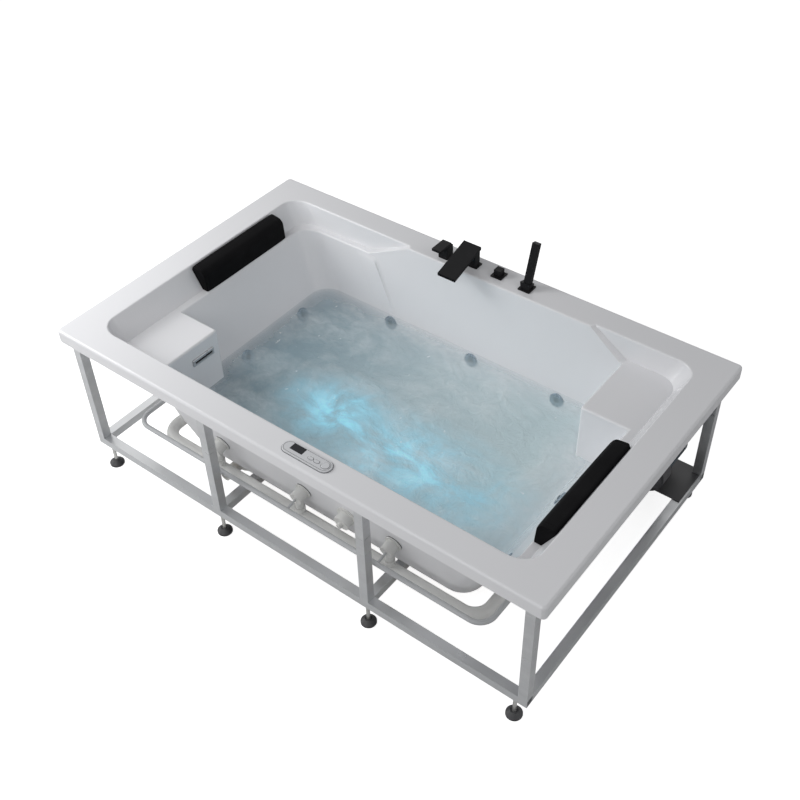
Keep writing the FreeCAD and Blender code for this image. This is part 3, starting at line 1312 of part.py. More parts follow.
# ================================================================ control panel and control box
def panel_body():
    """The panel: an oblong flange over the rim and its case under it, with room for the keys."""
    length, width, depth = PANEL_CASE
    flange = rounded_top(stadium(PANEL, PANEL_SIZE, RIM_HEIGHT, PANEL_TOP), PANEL_ROUND, PANEL_TOP)
    case = stadium(PANEL, (length, width), RIM_HEIGHT - depth, RIM_HEIGHT)
    floor, top = KEY_LOW - KEY_TRAVEL - KEY_ROOM, PANEL_TOP + PAST
    rooms = [block(DISPLAY, DISPLAY_SIZE, PANEL_TOP - DISPLAY_SUNK, top)]
    key_room = [side + 2 * RUNNING_FIT for side in OVAL_KEY]
    for centre in (PUMP_KEY, LIGHT_KEY):
        rooms.append(stadium(centre, key_room, floor, top))
    rooms.append(rod(POWER_KEY + (floor,), POWER_KEY + (top,), POWER_KEY_R + RUNNING_FIT))
    return one_solid(flange.fuse(case).cut(rooms))


def panel_lens():
    return block(DISPLAY, DISPLAY_SIZE, PANEL_TOP - DISPLAY_SUNK, PANEL_TOP + DISPLAY_STAND)


def oval_key(centre):
    return rounded_top(stadium(centre, OVAL_KEY, KEY_LOW, KEY_TOP), KEY_ROUND[0], KEY_TOP)


def power_key():
    disc = rod(POWER_KEY + (KEY_LOW,), POWER_KEY + (KEY_TOP,), POWER_KEY_R)
    return rounded_top(disc, KEY_ROUND[1], KEY_TOP)


def control_box():
    """The case of the controls; it stands on the end cross rail and its foot on the long rail."""
    length, width, height = CONTROL_BOX
    inset_x, inset_y = CONTROL_INSET
    left = -END_RAIL_X - TUBE / 2 + inset_x
    rear = RAIL_Y - TUBE / 2 - inset_y
    right, middle_z = left + length, BOARD_BOTTOM + height / 2 - inset_y
    case = pad(left, right, rear - width, rear, BOARD_BOTTOM, BOARD_BOTTOM + height, CONTROL_ROUND)
    foot_from, foot_length, foot_lap, foot_thick = CONTROL_FOOT
    foot = box(left + foot_from, left + foot_from + foot_length, rear - foot_lap, RAIL_Y + BRACKET_LAP,
               BOARD_BOTTOM, BOARD_BOTTOM + foot_thick)
    gland_r, gland_length = CABLE_GLAND
    glands = []
    for number in range(CABLE_GLANDS):
        y = rear - CABLE_GLAND_PITCH * (number + 1)
        glands.append(rod((right, y, middle_z), (right + gland_length, y, middle_z), gland_r))
    return one_solid(case.fuse([foot] + glands))


# ================================================================ pillows
def pillow_section(y, swell):
    """The pillow's outline at y: flat top, round nose, and a back that follows the end wall."""
    back_top = -TRAY_X - TRAY_END_LEAN * SHELF_DEPTH + PILLOW_BACK
    floor = SHELF_Z + BODY_GAP
    foot = -TRAY_X + PILLOW_WALL_GAP
    front = -BACKREST_X
    behind, below = PILLOW_CORE

    def out(x, z):
        core_x, core_z = foot - behind, RIM_HEIGHT - below
        return V(core_x + (x - core_x) * swell, y, core_z + (z - core_z) * swell)

    def from_front(place):
        return out(front - place[0], RIM_HEIGHT - place[1])

    def from_back(place):
        return out(back_top + place[0], RIM_HEIGHT + place[1])
    high_foot = foot - TRAY_END_LEAN * (SHELF_DEPTH - PILLOW_WALL_TOP)
    wall_high = V(high_foot, y, RIM_HEIGHT - PILLOW_WALL_TOP)
    wall_low = V(foot, y, floor)
    toe = V(foot + (front - PILLOW_TOE - foot) * swell, y, floor)
    nose_low, nose = from_front(PILLOW_NOSE_LOW), from_front(PILLOW_NOSE)
    nose_high = from_front(PILLOW_NOSE_HIGH)
    top, shoulder = from_back(PILLOW_TOP), from_back(PILLOW_SHOULDER)
    edges = [
        Part.makeLine(wall_low, toe), Part.makeLine(toe, nose_low),
        Part.Arc(nose_low, nose, nose_high).toShape(), Part.makeLine(nose_high, top),
        Part.Arc(top, shoulder, wall_high).toShape(), Part.makeLine(wall_high, wall_low)]
    return Part.Wire(edges)


def pillow_left():
    """A cushion with drawn-in ends and a seam channel round each, swelling to its middle."""
    spots = list(PILLOW_STATIONS) + [(PILLOW_LENGTH / 2, PILLOW_SWELL)]
    spots += [(PILLOW_LENGTH - at, swell) for at, swell in reversed(PILLOW_STATIONS)]
    wires = [pillow_section(PILLOW_START + at, swell) for at, swell in spots]
    return Part.makeLoft(wires, True, True)


# ================================================================ every node
def frame_nodes():
    return {
        "base_board": base_board(), "long_rails": long_rails(),
        "cross_rails": rails_across((-END_RAIL_X, -MIDDLE_RAIL_X, MIDDLE_RAIL_X, END_RAIL_X), RAIL_MIDDLE),
        "end_top_rails": rails_across((-END_RAIL_X, END_RAIL_X), PLATE_TOP - TOP_PLATE - TUBE),
        "posts": posts(), "rim_pads": rim_pads(), "foot_pads": foot_pads(),
        "foot_studs": foot_studs(), "foot_nuts": foot_nuts()}


def water_nodes():
    nodes = {
        "jet_faces": at_each_jet(jet_face()), "jet_gaskets": at_each_jet(jet_gasket()),
        "jet_bodies": group([jet_body(point, normal) for _, point, normal in JETS]),
        "pressure_manifold": pressure_manifold(), "air_manifold": air_manifold(),
        "suction_body": suction_body(), "suction_cover": suction_cover(),
        "suction_pipe": suction_pipe(), "pump_volute": pump_volute(), "pump_motor": pump_motor(),
        "pump_bracket": pump_bracket(), "union_nuts": union_nuts(),
        "pump_outlet_pipe": pump_outlet_pipe(), "drain_flange": drain_flange(),
        "drain_plug": drain_plug(), "drain_tail": drain_tail(), "overflow_cover": overflow_cover(),
        "overflow_body": overflow_body(), "overflow_pipe": overflow_pipe()}
    for name, piece in (("ring", light_bezel()), ("lens", light_lens()), ("body", light_body())):
        nodes["light_" + name] = placed(piece, *LIGHT_PLACE)
    nozzle = jet_nozzle()
    for name, point, normal in JETS:
        nodes["jet_nozzle_" + name] = placed(nozzle, point, normal)
    return nodes


def deck_nodes():
    return {
        "mixer_body": mixer_body(), "mixer_spindle": mixer_spindle(), "mixer_lever": mixer_lever(),
        "spout": spout(), "diverter_base": diverter_base(), "diverter_knob": diverter_knob(),
        "handset_holder": handset_holder(), "handset": handset(), "tap_washers": tap_washers(),
        "tap_backnuts": tap_backnuts(), "panel_body": panel_body(), "panel_lens": panel_lens(),
        "key_pump": oval_key(PUMP_KEY), "key_light": oval_key(LIGHT_KEY), "key_power": power_key(),
        "control_box": control_box()}


def all_nodes():
    pillow = pillow_left()
    pillows = {"pillow_left": pillow, "pillow_right": half_turn(pillow)}
    return {"tub_shell": tub_shell()} | frame_nodes() | water_nodes() | deck_nodes() | pillows


os.makedirs("parts", exist_ok=True)
for node, shape in all_nodes().items():
    shape.exportStep(f"parts/{node}.step")
    print(node, len(shape.Solids), shape.isValid(), round(shape.Volume))
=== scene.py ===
"""The looks of a two-seat jetted bathtub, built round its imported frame."""
import json
import logging
import math
from dataclasses import dataclass
from enum import Enum
from typing import Sequence

import bmesh
import bpy
from mathutils import Matrix, Vector


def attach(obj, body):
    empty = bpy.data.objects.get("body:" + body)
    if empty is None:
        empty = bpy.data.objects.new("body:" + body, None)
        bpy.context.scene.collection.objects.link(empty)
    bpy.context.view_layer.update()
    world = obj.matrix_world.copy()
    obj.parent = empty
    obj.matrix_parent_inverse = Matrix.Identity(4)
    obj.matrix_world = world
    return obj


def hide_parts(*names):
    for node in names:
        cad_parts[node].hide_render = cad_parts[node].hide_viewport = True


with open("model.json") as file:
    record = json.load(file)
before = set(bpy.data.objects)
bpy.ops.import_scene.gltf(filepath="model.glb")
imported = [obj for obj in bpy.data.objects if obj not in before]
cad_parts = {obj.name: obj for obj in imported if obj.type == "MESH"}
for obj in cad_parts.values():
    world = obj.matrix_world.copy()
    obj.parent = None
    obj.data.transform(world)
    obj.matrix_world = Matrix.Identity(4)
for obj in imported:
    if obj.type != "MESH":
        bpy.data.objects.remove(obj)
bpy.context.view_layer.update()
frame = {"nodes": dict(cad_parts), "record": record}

LOG = logging.getLogger("bathtub")
HALF_TURN = Matrix.Rotation(math.pi, 3, "Z")
Socket = bpy.types.NodeSocket
Input = Socket | float | tuple[float, ...]
Colour = tuple[float, float, float]
Point = tuple[float, float, float]
Flat = tuple[float, float]


# ------------------------------------------------------------------ the tub's own measures
@dataclass(frozen=True)
class TubPlan:
    """Heights and reaches that pieces share, in metres, and how far out the walls lean for each one up."""

    rim: float = 0.580
    shelf: float = 0.500
    water: float = 0.300
    ledge_x: float = 0.565
    ledge_y: float = 0.187
    back_lean: float = 0.155
    front_lean: float = 0.2175
    backrest_lean: float = 0.5


PLAN = TubPlan()


# ------------------------------------------------------------------ shader building
@dataclass(frozen=True)
class Noise:
    """A noise: its features to a metre, its finer layers and their strength, its stretch and its swirl."""

    scale: float
    detail: float = 3
    roughness: float = 0.5
    stretch: Point = (1, 1, 1)
    swirl: float = 0


@dataclass(frozen=True)
class Span:
    """The values low and high that a factor is stretched to, and the factors that give them."""

    low: float
    high: float
    from_low: float = 0.3
    from_high: float = 0.7


class NodeSheet:
    """A node tree that is filled a few nodes at a time."""

    def __init__(self, tree: bpy.types.NodeTree) -> None:
        """Empty a tree.

        Args:
            tree: the node tree.
        """
        self.tree = tree
        self.tree.nodes.clear()

    def put(self, value: Input, socket: Socket) -> None:
        """Give a socket its input.

        Args:
            value: a socket to link from, or the value itself.
            socket: the socket that takes it.
        """
        if isinstance(value, Socket):
            self.tree.links.new(value, socket)
        else:
            socket.default_value = value

    def feed(self, node: bpy.types.Node, **inputs: Input) -> None:
        """Give a node its inputs.

        Args:
            node: the node.
            inputs: an input for each socket, by its name with underscores for spaces.
        """
        for name, value in inputs.items():
            self.put(value, node.inputs[name.replace("_", " ").title().replace("Ior", "IOR")])

    def node(self, kind: str, **inputs: Input) -> bpy.types.Node:
        """Add a node.

        Args:
            kind: the name of its type.
            inputs: an input for each socket, by its name with underscores for spaces.
        Returns:
            The node.
        """
        node = self.tree.nodes.new(kind)
        self.feed(node, **inputs)
        return node

    def sum(self, operation: str, first: Socket | float, second: Socket | float) -> Socket:
        """Work out two numbers, each a socket or a value.

        Args:
            operation: the Math node's operation.
            first: the first number.
            second: the second number.
        Returns:
            The result.
        """
        node = self.node("ShaderNodeMath")
        node.operation = operation
        for socket, value in zip(node.inputs, (first, second)):
            self.put(value, socket)
        return node.outputs["Value"]


class ShaderSheet(NodeSheet):
    """A material round a Principled shader, whose patterns lie on Object coordinates."""

    def __init__(self, name: str) -> None:
        """Start a material that has no more than the shader.

        Args:
            name: the material's name.
        """
        self.material = bpy.data.materials.new(name)
        self.material.use_nodes = True
        super().__init__(self.material.node_tree)
        self.shader = self.node("ShaderNodeBsdfPrincipled")
        self.node("ShaderNodeOutputMaterial", surface=self.shader.outputs["BSDF"])
        self.place = self.node("ShaderNodeTexCoord").outputs["Object"]

    def set(self, **inputs: Input) -> None:
        """Give the shader inputs, by their sockets' names with underscores for spaces."""
        self.feed(self.shader, **inputs)

    def mapped(self, scale: Point = (1, 1, 1), location: Point = (0, 0, 0)) -> Socket:
        """Object coordinates, moved and stretched.

        Args:
            scale: the stretch along each axis.
            location: the move along each axis, in metres.
        Returns:
            The mapped vector.
        """
        node = self.node("ShaderNodeMapping", vector=self.place, scale=scale, location=location)
        return node.outputs["Vector"]

    def noise(self, noise: Noise) -> Socket:
        """A noise on Object coordinates.

        Args:
            noise: its numbers.
        Returns:
            The noise's factor.
        """
        node = self.node("ShaderNodeTexNoise", vector=self.mapped(noise.stretch), scale=noise.scale,
                         detail=noise.detail, roughness=noise.roughness, distortion=noise.swirl)
        return node.outputs["Fac"]

    def cells(self, scale: float, stretch: Point = (1, 1, 1)) -> Socket:
        """The distance to the nearest of scattered cell middles; scale is how many there are to a metre."""
        return self.node("ShaderNodeTexVoronoi", vector=self.mapped(stretch), scale=scale).outputs["Distance"]

    def tones(self, source: Socket, stops: Sequence[tuple[float, Colour]]) -> Socket:
        """Turn a factor into a colour.

        Args:
            source: the factor.
            stops: a place from 0 to 1 and the colour there, for each stop.
        Returns:
            The colour.
        """
        node = self.node("ShaderNodeValToRGB", fac=source)
        ramp = node.color_ramp
        while len(ramp.elements) < len(stops):
            ramp.elements.new(0.5)
        for element, (place, colour) in zip(ramp.elements, stops):
            element.position = place
            element.color = (*colour, 1)
        return node.outputs["Color"]

    def spread(self, source: Socket, span: Span) -> Socket:
        """Stretch a factor to a range of values.

        Args:
            source: the factor.
            span: the values and the factors that give them.
        Returns:
            The value.
        """
        node = self.node("ShaderNodeMapRange", value=source, from_min=span.from_low, from_max=span.from_high,
                         to_min=span.low, to_max=span.high)
        return node.outputs["Result"]

    def attribute(self, name: str) -> Socket:
        """The value of one of the piece's own attributes.

        Args:
            name: the attribute's name.
        Returns:
            The value.
        """
        node = self.node("ShaderNodeAttribute")
        node.attribute_name = name
        return node.outputs["Fac"]

    def part(self, axis: str) -> Socket:
        """One of the Object coordinates, by the name of its axis."""
        return self.node("ShaderNodeSeparateXYZ", vector=self.place).outputs[axis]

    def blend(self, share: Socket, low: Socket | Colour, high: Socket | Colour) -> Socket:
        """Mix two colours by a share.

        Args:
            share: how much of the second colour there is.
            low: the first colour, a socket or a value.
            high: the second colour, a socket or a value.
        Returns:
            The colour.
        """
        node = self.node("ShaderNodeMix")
        node.data_type = "RGBA"
        self.put(share, node.inputs["Factor"])
        for name, value in (("A", low), ("B", high)):
            socket = next(one for one in node.inputs if one.name == name and one.type == "RGBA")
            self.put(value if isinstance(value, Socket) else (*value, 1), socket)
        return next(one for one in node.outputs if one.type == "RGBA")

    def blob(self, middle: Point, reach: Point) -> Socket:
        """How far a place is from a middle, where 1 is the edge of an oval.

        Args:
            middle: the oval's middle, in metres.
            reach: its half lengths along each axis.
        Returns:
            The distance.
        """
        scale = tuple(1 / part for part in reach)
        node = self.node("ShaderNodeVectorMath")
        node.operation = "LENGTH"
        self.put(self.mapped(scale, tuple(-at * by for at, by in zip(middle, scale))), node.inputs[0])
        return node.outputs["Value"]

    def relief(self, source: Socket, strength: float, depth: float) -> None:
        """Give the surface a fine relief.

        Args:
            source: the relief's height, from 0 to 1.
            strength: how much of it shows.
            depth: its depth in metres.
        """
        node = self.node("ShaderNodeBump", height=source, strength=strength, distance=depth)
        self.set(normal=node.outputs["Normal"])


def shade(colour: Colour, factor: float) -> Colour:
    """A darker or lighter tone of a colour."""
    return tuple(min(1.0, part * factor) for part in colour)


# ------------------------------------------------------------------ finishes
@dataclass(frozen=True)
class Finish:
    """A surface whose tone, gloss and relief vary a little."""

    name: str
    colour: Colour
    roughness: float = 0.4
    metallic: float = 0.0
    tone_scale: float = 3.0
    tone_depth: float = 0.05
    gloss_scale: float = 9.0
    gloss_depth: float = 0.08
    grain_scale: float = 900.0
    grain_depth: float = 0.00002
    grain_strength: float = 0.3
    stretch: Point = (1, 1, 1)
    specular: float = 0.5
    least_roughness: float = 0.02

    def tint(self, sheet: ShaderSheet, source: Socket, steps: Sequence[Flat]) -> None:
        """Colour a sheet in darker and lighter tones of the finish's colour.

        Args:
            sheet: the sheet.
            source: the factor that places the tones.
            steps: a place from 0 to 1 and the brightness there, for each tone.
        """
        stops = [(place, shade(self.colour, bright)) for place, bright in steps]
        sheet.set(base_color=sheet.tones(source, stops))

    def paint(self, sheet: ShaderSheet) -> None:
        """Give a sheet the finish's tones."""
        tone = sheet.noise(Noise(self.tone_scale, detail=4, roughness=0.55, stretch=self.stretch))
        self.tint(sheet, tone, ((0.3, 1 - self.tone_depth), (0.7, 1 + self.tone_depth)))

    def polish(self, sheet: ShaderSheet) -> None:
        """Give a sheet the finish's gloss.

        Args:
            sheet: the sheet.
        """
        gloss = sheet.noise(Noise(self.gloss_scale, detail=5, roughness=0.6, stretch=self.stretch))
        smoothest = max(self.least_roughness, self.roughness - self.gloss_depth)
        sheet.set(roughness=sheet.spread(gloss, Span(smoothest, self.roughness + self.gloss_depth)))

    def grain(self, sheet: ShaderSheet) -> None:
        """Give a sheet the finish's relief."""
        grain = sheet.noise(Noise(self.grain_scale, detail=2, stretch=self.stretch))
        sheet.relief(grain, self.grain_strength, self.grain_depth)

    def material(self) -> bpy.types.Material:
        """Put the finish's nodes together.

        Returns:
            The material.
        """
        sheet = ShaderSheet(self.name)
        sheet.set(metallic=self.metallic, specular_ior_level=self.specular)
        self.paint(sheet)
        self.polish(sheet)
        self.grain(sheet)
        return sheet.material


@dataclass(frozen=True)
class Acrylic(Finish):
    """Glossy white acrylic with hair-fine wiping marks and a faint waviness."""

    marks: Noise = Noise(60, detail=6, roughness=0.7, stretch=(1, 9, 1), swirl=0.6)
    smoother: float = 0.03
    rougher: float = 0.05
    waves: Noise = Noise(14, detail=2, roughness=0.4)
    wave_strength: float = 0.12
    wave_depth: float = 0.0006

    def polish(self, sheet: ShaderSheet) -> None:
        """Give a sheet the acrylic's gloss, with the marks in it."""
        span = Span(self.roughness - self.smoother, self.roughness + self.rougher)
        sheet.set(roughness=sheet.spread(sheet.noise(self.marks), span))

    def grain(self, sheet: ShaderSheet) -> None:
        """Give a sheet the acrylic's waviness."""
        sheet.relief(sheet.noise(self.waves), self.wave_strength, self.wave_depth)


@dataclass(frozen=True)
class SoftSkin(Finish):
    """Moulded foam skin with a leather-like grain and paler worn ridges."""

    cell_scale: float = 620
    pores: Noise = Noise(1400)
    pore_share: float = 0.35
    skin_strength: float = 0.45
    skin_depth: float = 0.00022
    wear: Noise = Noise(26, detail=5, roughness=0.6)
    worn: tuple[Flat, ...] = ((0.35, 0.8), (0.62, 1), (0.8, 1.5))

    def paint(self, sheet: ShaderSheet) -> None:
        """Give a sheet the skin's worn tones."""
        self.tint(sheet, sheet.noise(self.wear), self.worn)

    def grain(self, sheet: ShaderSheet) -> None:
        """Give a sheet the skin's cells and pores.

        Args:
            sheet: the sheet.
        """
        pores = sheet.sum("MULTIPLY", sheet.noise(self.pores), self.pore_share)
        height = sheet.sum("ADD", sheet.cells(self.cell_scale), pores)
        sheet.relief(height, self.skin_strength, self.skin_depth)


@dataclass(frozen=True)
class RawBoard(Finish):
    """Pressed board, with chips of several tones."""

    chip_scale: float = 140
    chip_stretch: Point = (1, 2.5, 1)
    chip_tones: tuple[Flat, ...] = ((0.1, 0.7), (0.4, 1), (0.8, 1.2))
    chip_strength: float = 0.4
    chip_depth: float = 0.0003

    def paint(self, sheet: ShaderSheet) -> None:
        """Give a sheet the chips' tones."""
        self.tint(sheet, sheet.cells(self.chip_scale, self.chip_stretch), self.chip_tones)

    def grain(self, sheet: ShaderSheet) -> None:
        """Give a sheet the chips' relief."""
        sheet.relief(sheet.cells(self.chip_scale, self.chip_stretch), self.chip_strength, self.chip_depth)


@dataclass(frozen=True)
class Glow(Finish):
    """A frosted lens that gives off light."""

    light: Colour = (0.2, 0.85, 1.0)
    power: float = 2.5

    def polish(self, sheet: ShaderSheet) -> None:
        """Give a sheet the lens's gloss and its own light."""
        super().polish(sheet)
        sheet.set(emission_color=(*self.light, 1), emission_strength=self.power)


@dataclass(frozen=True)
class LitPatch:
    """An oval of water where the lamp's light is painted, and how that painted light fades from the middle
    outwards.
    """

    middle: Flat
    reach: Flat
    fade: Span


@dataclass(frozen=True)
class ChurnedWater:
    """Churned water that clears towards the walls, with foam, painted shade towards the left end, and the
    underwater lamp's cyan light painted on as colour and glow.
    """

    name: str = "bath_water"
    swirls: Noise = Noise(3.2, detail=7, roughness=0.58, stretch=(1, 1.4, 1), swirl=0.7)
    ripples: Noise = Noise(19, detail=6, roughness=0.62, stretch=(1, 1.2, 1), swirl=0.8)
    bubbles: Noise = Noise(42, detail=3, roughness=0.55, stretch=(1, 0.7, 1))
    swirl_foam: Span = Span(0, 1, 0.42, 0.74)
    ripple_foam: Span = Span(0.45, 1, 0.33, 0.62)
    bubble_foam: Span = Span(0, 1, 0.7, 0.76)
    cloud_share: float = 0.78
    fleck_share: float = 0.8
    patches: Noise = Noise(7.5, detail=6, roughness=0.6, stretch=(1, 1.3, 1), swirl=0.8)
    patch_light: Span = Span(0.35, 1.15, 0.36, 0.64)
    near: LitPatch = LitPatch((-0.14, -0.1), (0.22, 0.15), Span(1, 0, 0.1, 1.3))
    far: LitPatch = LitPatch((0.17, -0.15), (0.4, 0.18), Span(0.95, 0, 0.1, 1.35))
    along_tub: Span = Span(0, 1, -0.55, 0.5)
    shaded_murk: Colour = (0.25, 0.375, 0.44)
    lit_murk: Colour = (0.62, 0.79, 0.82)
    glow_tint: Colour = (0.40, 0.82, 1.0)
    glow_cover: Span = Span(0, 1, 0, 0.95)
    foam_white: Colour = (0.86, 0.93, 0.95)
    painted_lamp_glow: tuple[tuple[float, Colour], ...] = (
        (0, (0, 0, 0)), (0.55, (0.015, 0.06, 0.085)), (1, (0.06, 0.18, 0.22)))
    least_cover: float = 0.78
    more_cover: float = 0.2
    roughness: float = 0.2
    specular: float = 0.35
    refraction: float = 1.33
    ripple_height: float = 0.4
    wave_strength: float = 0.6
    wave_depth: float = 0.03

    def lit(self, sheet: ShaderSheet, patch: LitPatch) -> Socket:
        """How strongly the lamp's painted light lies on a place by one of its ovals.

        Args:
            sheet: the sheet that the nodes go on.
            patch: the oval.
        Returns:
            The factor.
        """
        return sheet.spread(sheet.blob((*patch.middle, PLAN.water), (*patch.reach, 1)), patch.fade)

    def glow(self, sheet: ShaderSheet) -> Socket:
        """How strongly the underwater lamp's painted light lies on a place, from 0 to 1 and a little over.

        Args:
            sheet: the sheet that the nodes go on.
        Returns:
            The factor.
        """
        patches = sheet.spread(sheet.noise(self.patches), self.patch_light)
        lamp = sheet.sum("MAXIMUM", self.lit(sheet, self.near), self.lit(sheet, self.far))
        return sheet.sum("MULTIPLY", lamp, patches)

    def foam(self, sheet: ShaderSheet, swirls: Socket, ripples: Socket) -> Socket:
        """How much foam lies on a place.

        Args:
            sheet: the sheet that the nodes go on.
            swirls: the wide noise of the churned water.
            ripples: its fine noise.
        Returns:
            The factor.
        """
        clouds = sheet.sum("MULTIPLY", sheet.spread(swirls, self.swirl_foam),
                           sheet.spread(ripples, self.ripple_foam))
        flecks = sheet.spread(sheet.noise(self.bubbles), self.bubble_foam)
        return sheet.sum("MAXIMUM", sheet.sum("MULTIPLY", clouds, self.cloud_share),
                         sheet.sum("MULTIPLY", flecks, self.fleck_share))

    def material(self) -> bpy.types.Material:
        """Put the water's nodes together.

        Returns:
            The material, which reads the piece's attribute "depth" for how much it covers.
        """
        sheet = ShaderSheet(self.name)
        swirls, ripples = sheet.noise(self.swirls), sheet.noise(self.ripples)
        foam, glow = self.foam(sheet, swirls, ripples), self.glow(sheet)
        # painted shade: the water's colour is darker towards the left end and lighter towards the right
        murk_with_painted_shade = sheet.blend(sheet.spread(sheet.part("X"), self.along_tub), self.shaded_murk, self.lit_murk)
        # painted light: the lamp's cyan light is painted into the water's colour here, and the water gives it
        # off below as a painted glow
        lamp_lit_colour = sheet.blend(sheet.spread(glow, self.glow_cover), murk_with_painted_shade, self.glow_tint)
        more = sheet.sum("MULTIPLY", sheet.sum("MAXIMUM", foam, glow), self.more_cover)
        cover = sheet.sum("ADD", self.least_cover, more)
        sheet.set(base_color=sheet.blend(foam, lamp_lit_colour, self.foam_white),
                  alpha=sheet.sum("MULTIPLY", sheet.attribute("depth"), cover),
                  emission_color=sheet.tones(glow, self.painted_lamp_glow), emission_strength=1.0,
                  roughness=self.roughness, specular_ior_level=self.specular, ior=self.refraction)
        height = sheet.sum("ADD", swirls, sheet.sum("MULTIPLY", ripples, self.ripple_height))
        sheet.relief(height, self.wave_strength, self.wave_depth)
        return sheet.material


FINISHES: dict[str, Finish] = {
    "acrylic": Acrylic(
        "white_acrylic", (0.835, 0.837, 0.855), roughness=0.2, tone_scale=1.4, tone_depth=0.012,
        specular=0.35),
    "board": RawBoard("pressed_board", (0.42, 0.3, 0.18), roughness=0.8),
    "frame_steel": Finish(
        "bright_frame_steel", (0.62, 0.63, 0.64), roughness=0.34, metallic=0.9, tone_scale=2,
        stretch=(1, 1, 14), grain_scale=420),
    "pad_rubber": Finish(
        "pad_rubber", (0.02, 0.02, 0.022), roughness=0.7, grain_scale=500, grain_depth=0.0001),
    "foot_plastic": Finish(
        "foot_plastic", (0.035, 0.035, 0.038), roughness=0.5, grain_scale=700, grain_depth=0.00006),
    "zinc": Finish(
        "zinc_plate", (0.62, 0.62, 0.6), roughness=0.3, metallic=1.0, tone_depth=0.12, tone_scale=40),
    "pipe_plastic": Finish("white_pipe", (0.72, 0.72, 0.7), roughness=0.35, tone_depth=0.04, grain_scale=300),
    "air_plastic": Finish("grey_air_pipe", (0.5, 0.51, 0.52)),
    "fitting_plastic": Finish(
        "white_fitting", (0.7, 0.7, 0.68), roughness=0.42, grain_scale=500, grain_depth=0.00005),
    # painted shade and light: the jets' faces are a darker copy of the chrome and their ribs a lighter one,
    # for how they look under the water
    "shaded_jet_chrome": Finish("underwater_shaded_chrome", (0.25, 0.3, 0.36), roughness=0.16, metallic=1.0, gloss_depth=0.05),
    "lit_rib_chrome": Finish("lit_rib_chrome", (0.55, 0.6, 0.66), roughness=0.14, metallic=1.0, gloss_depth=0.05),
    "cover_plate": Finish(
        "cover_plate", (0.5, 0.51, 0.53), roughness=0.3, metallic=0.4, tone_depth=0.04, specular=0.4),
    "chrome": Finish(
        "polished_chrome", (0.42, 0.45, 0.49), roughness=0.14, metallic=1.0, tone_depth=0.04,
        gloss_depth=0.05),
    # painted shade: the nozzles are nearly black for the shade in the jets' mouths
    "nozzle": Finish("shaded_nozzle_chrome", (0.05, 0.065, 0.09), roughness=0.2, metallic=1.0, gloss_depth=0.05),
    "gasket": Finish("gasket_rubber", (0.02, 0.02, 0.02), roughness=0.7, grain_scale=600),
    "pump_wet_end": Finish(
        "pump_plastic", (0.045, 0.045, 0.05), roughness=0.45, grain_scale=260, grain_depth=0.0001),
    "pump_motor": Finish(
        "motor_enamel", (0.08, 0.1, 0.12), roughness=0.36, metallic=0.2, grain_scale=240, grain_depth=0.0001),
    "bracket": Finish(
        "bracket_paint", (0.05, 0.05, 0.052), roughness=0.45, grain_scale=500, grain_depth=0.00006),
    "lens": Glow("lamp_lens", (0.6, 0.9, 0.95), roughness=0.3),
    "black_tap": Finish(
        "matt_black_tap", (0.006, 0.006, 0.0068), roughness=0.5, tone_depth=0.2, tone_scale=30,
        gloss_depth=0.06, grain_scale=1500, grain_depth=0.00003, specular=0.14),
    "brass": Finish(
        "raw_brass", (0.62, 0.43, 0.16), roughness=0.28, metallic=1.0, tone_depth=0.12, tone_scale=25),
    "panel": Finish("panel_silver", (0.66, 0.67, 0.69), roughness=0.3, tone_depth=0.03, specular=0.45),
    "display": Finish("display_glass", (0.004, 0.005, 0.009), roughness=0.16, tone_depth=0.1, specular=0.3),
    "key": Finish("key_silver", (0.6, 0.61, 0.63), roughness=0.26, metallic=0.2, tone_depth=0.03),
    "foam": SoftSkin("pillow_skin", (0.004, 0.004, 0.0046), roughness=0.66, specular=0.06),
    "case": Finish("control_case", (0.2, 0.21, 0.22), roughness=0.5, grain_scale=450, grain_depth=0.00008),
    # the panel's dark joint lines, and painted shade behind the overflow's slot
    "joint_line_and_slot_shade": Finish("joint_line_and_slot_shade", (0.012, 0.013, 0.015), roughness=0.6, grain_scale=400, specular=0.2),
    # partly painted shadow: the seal bead is dark to stand for the shadow round the panel's foot
    "seal_and_shadow_bead": Finish("seal_and_shadow_bead", (0.11, 0.115, 0.125), roughness=0.55, grain_scale=400, specular=0.3),
}


# ------------------------------------------------------------------ mesh helpers
def new_piece(name: str, mesh: bmesh.types.BMesh, material: bpy.types.Material,
              smooth: bool = True) -> bpy.types.Object:
    """Turn a bmesh into an object at the origin.

    Args:
        name: the piece's name.
        mesh: the bmesh, which is freed.
        material: the piece's material.
        smooth: whether its faces are shaded smooth.
    Returns:
        The new object.
    """
    data = bpy.data.meshes.new(name)
    for piece_face in mesh.faces:
        piece_face.smooth = smooth
    mesh.to_mesh(data)
    mesh.free()
    data.materials.append(material)
    piece = bpy.data.objects.new(name, data)
    bpy.context.scene.collection.objects.link(piece)
    return piece


def even_shading(piece: bpy.types.Object) -> None:
    """Even out the shading of a piece's flat faces and its roundings."""
    piece.modifiers.new("shading", "WEIGHTED_NORMAL").keep_sharp = True


def merged_copy(node: str, weld: float = 2e-6, flat_angle: float = 0.6) -> bmesh.types.BMesh:
    """A bmesh of a frame node with its loose triangles joined and its flat faces made whole.

    Args:
        node: the node's name.
        weld: points nearer than this are made one, in metres.
        flat_angle: faces that turn less than this are made one, in degrees.
    Returns:
        The bmesh.
    """
    mesh = bmesh.new()
    mesh.from_mesh(frame["nodes"][node].data)
    bmesh.ops.remove_doubles(mesh, verts=mesh.verts, dist=weld)
    bmesh.ops.dissolve_limit(mesh, angle_limit=math.radians(flat_angle), verts=mesh.verts, edges=mesh.edges,
                             use_dissolve_boundaries=False, delimit=set())
    return mesh


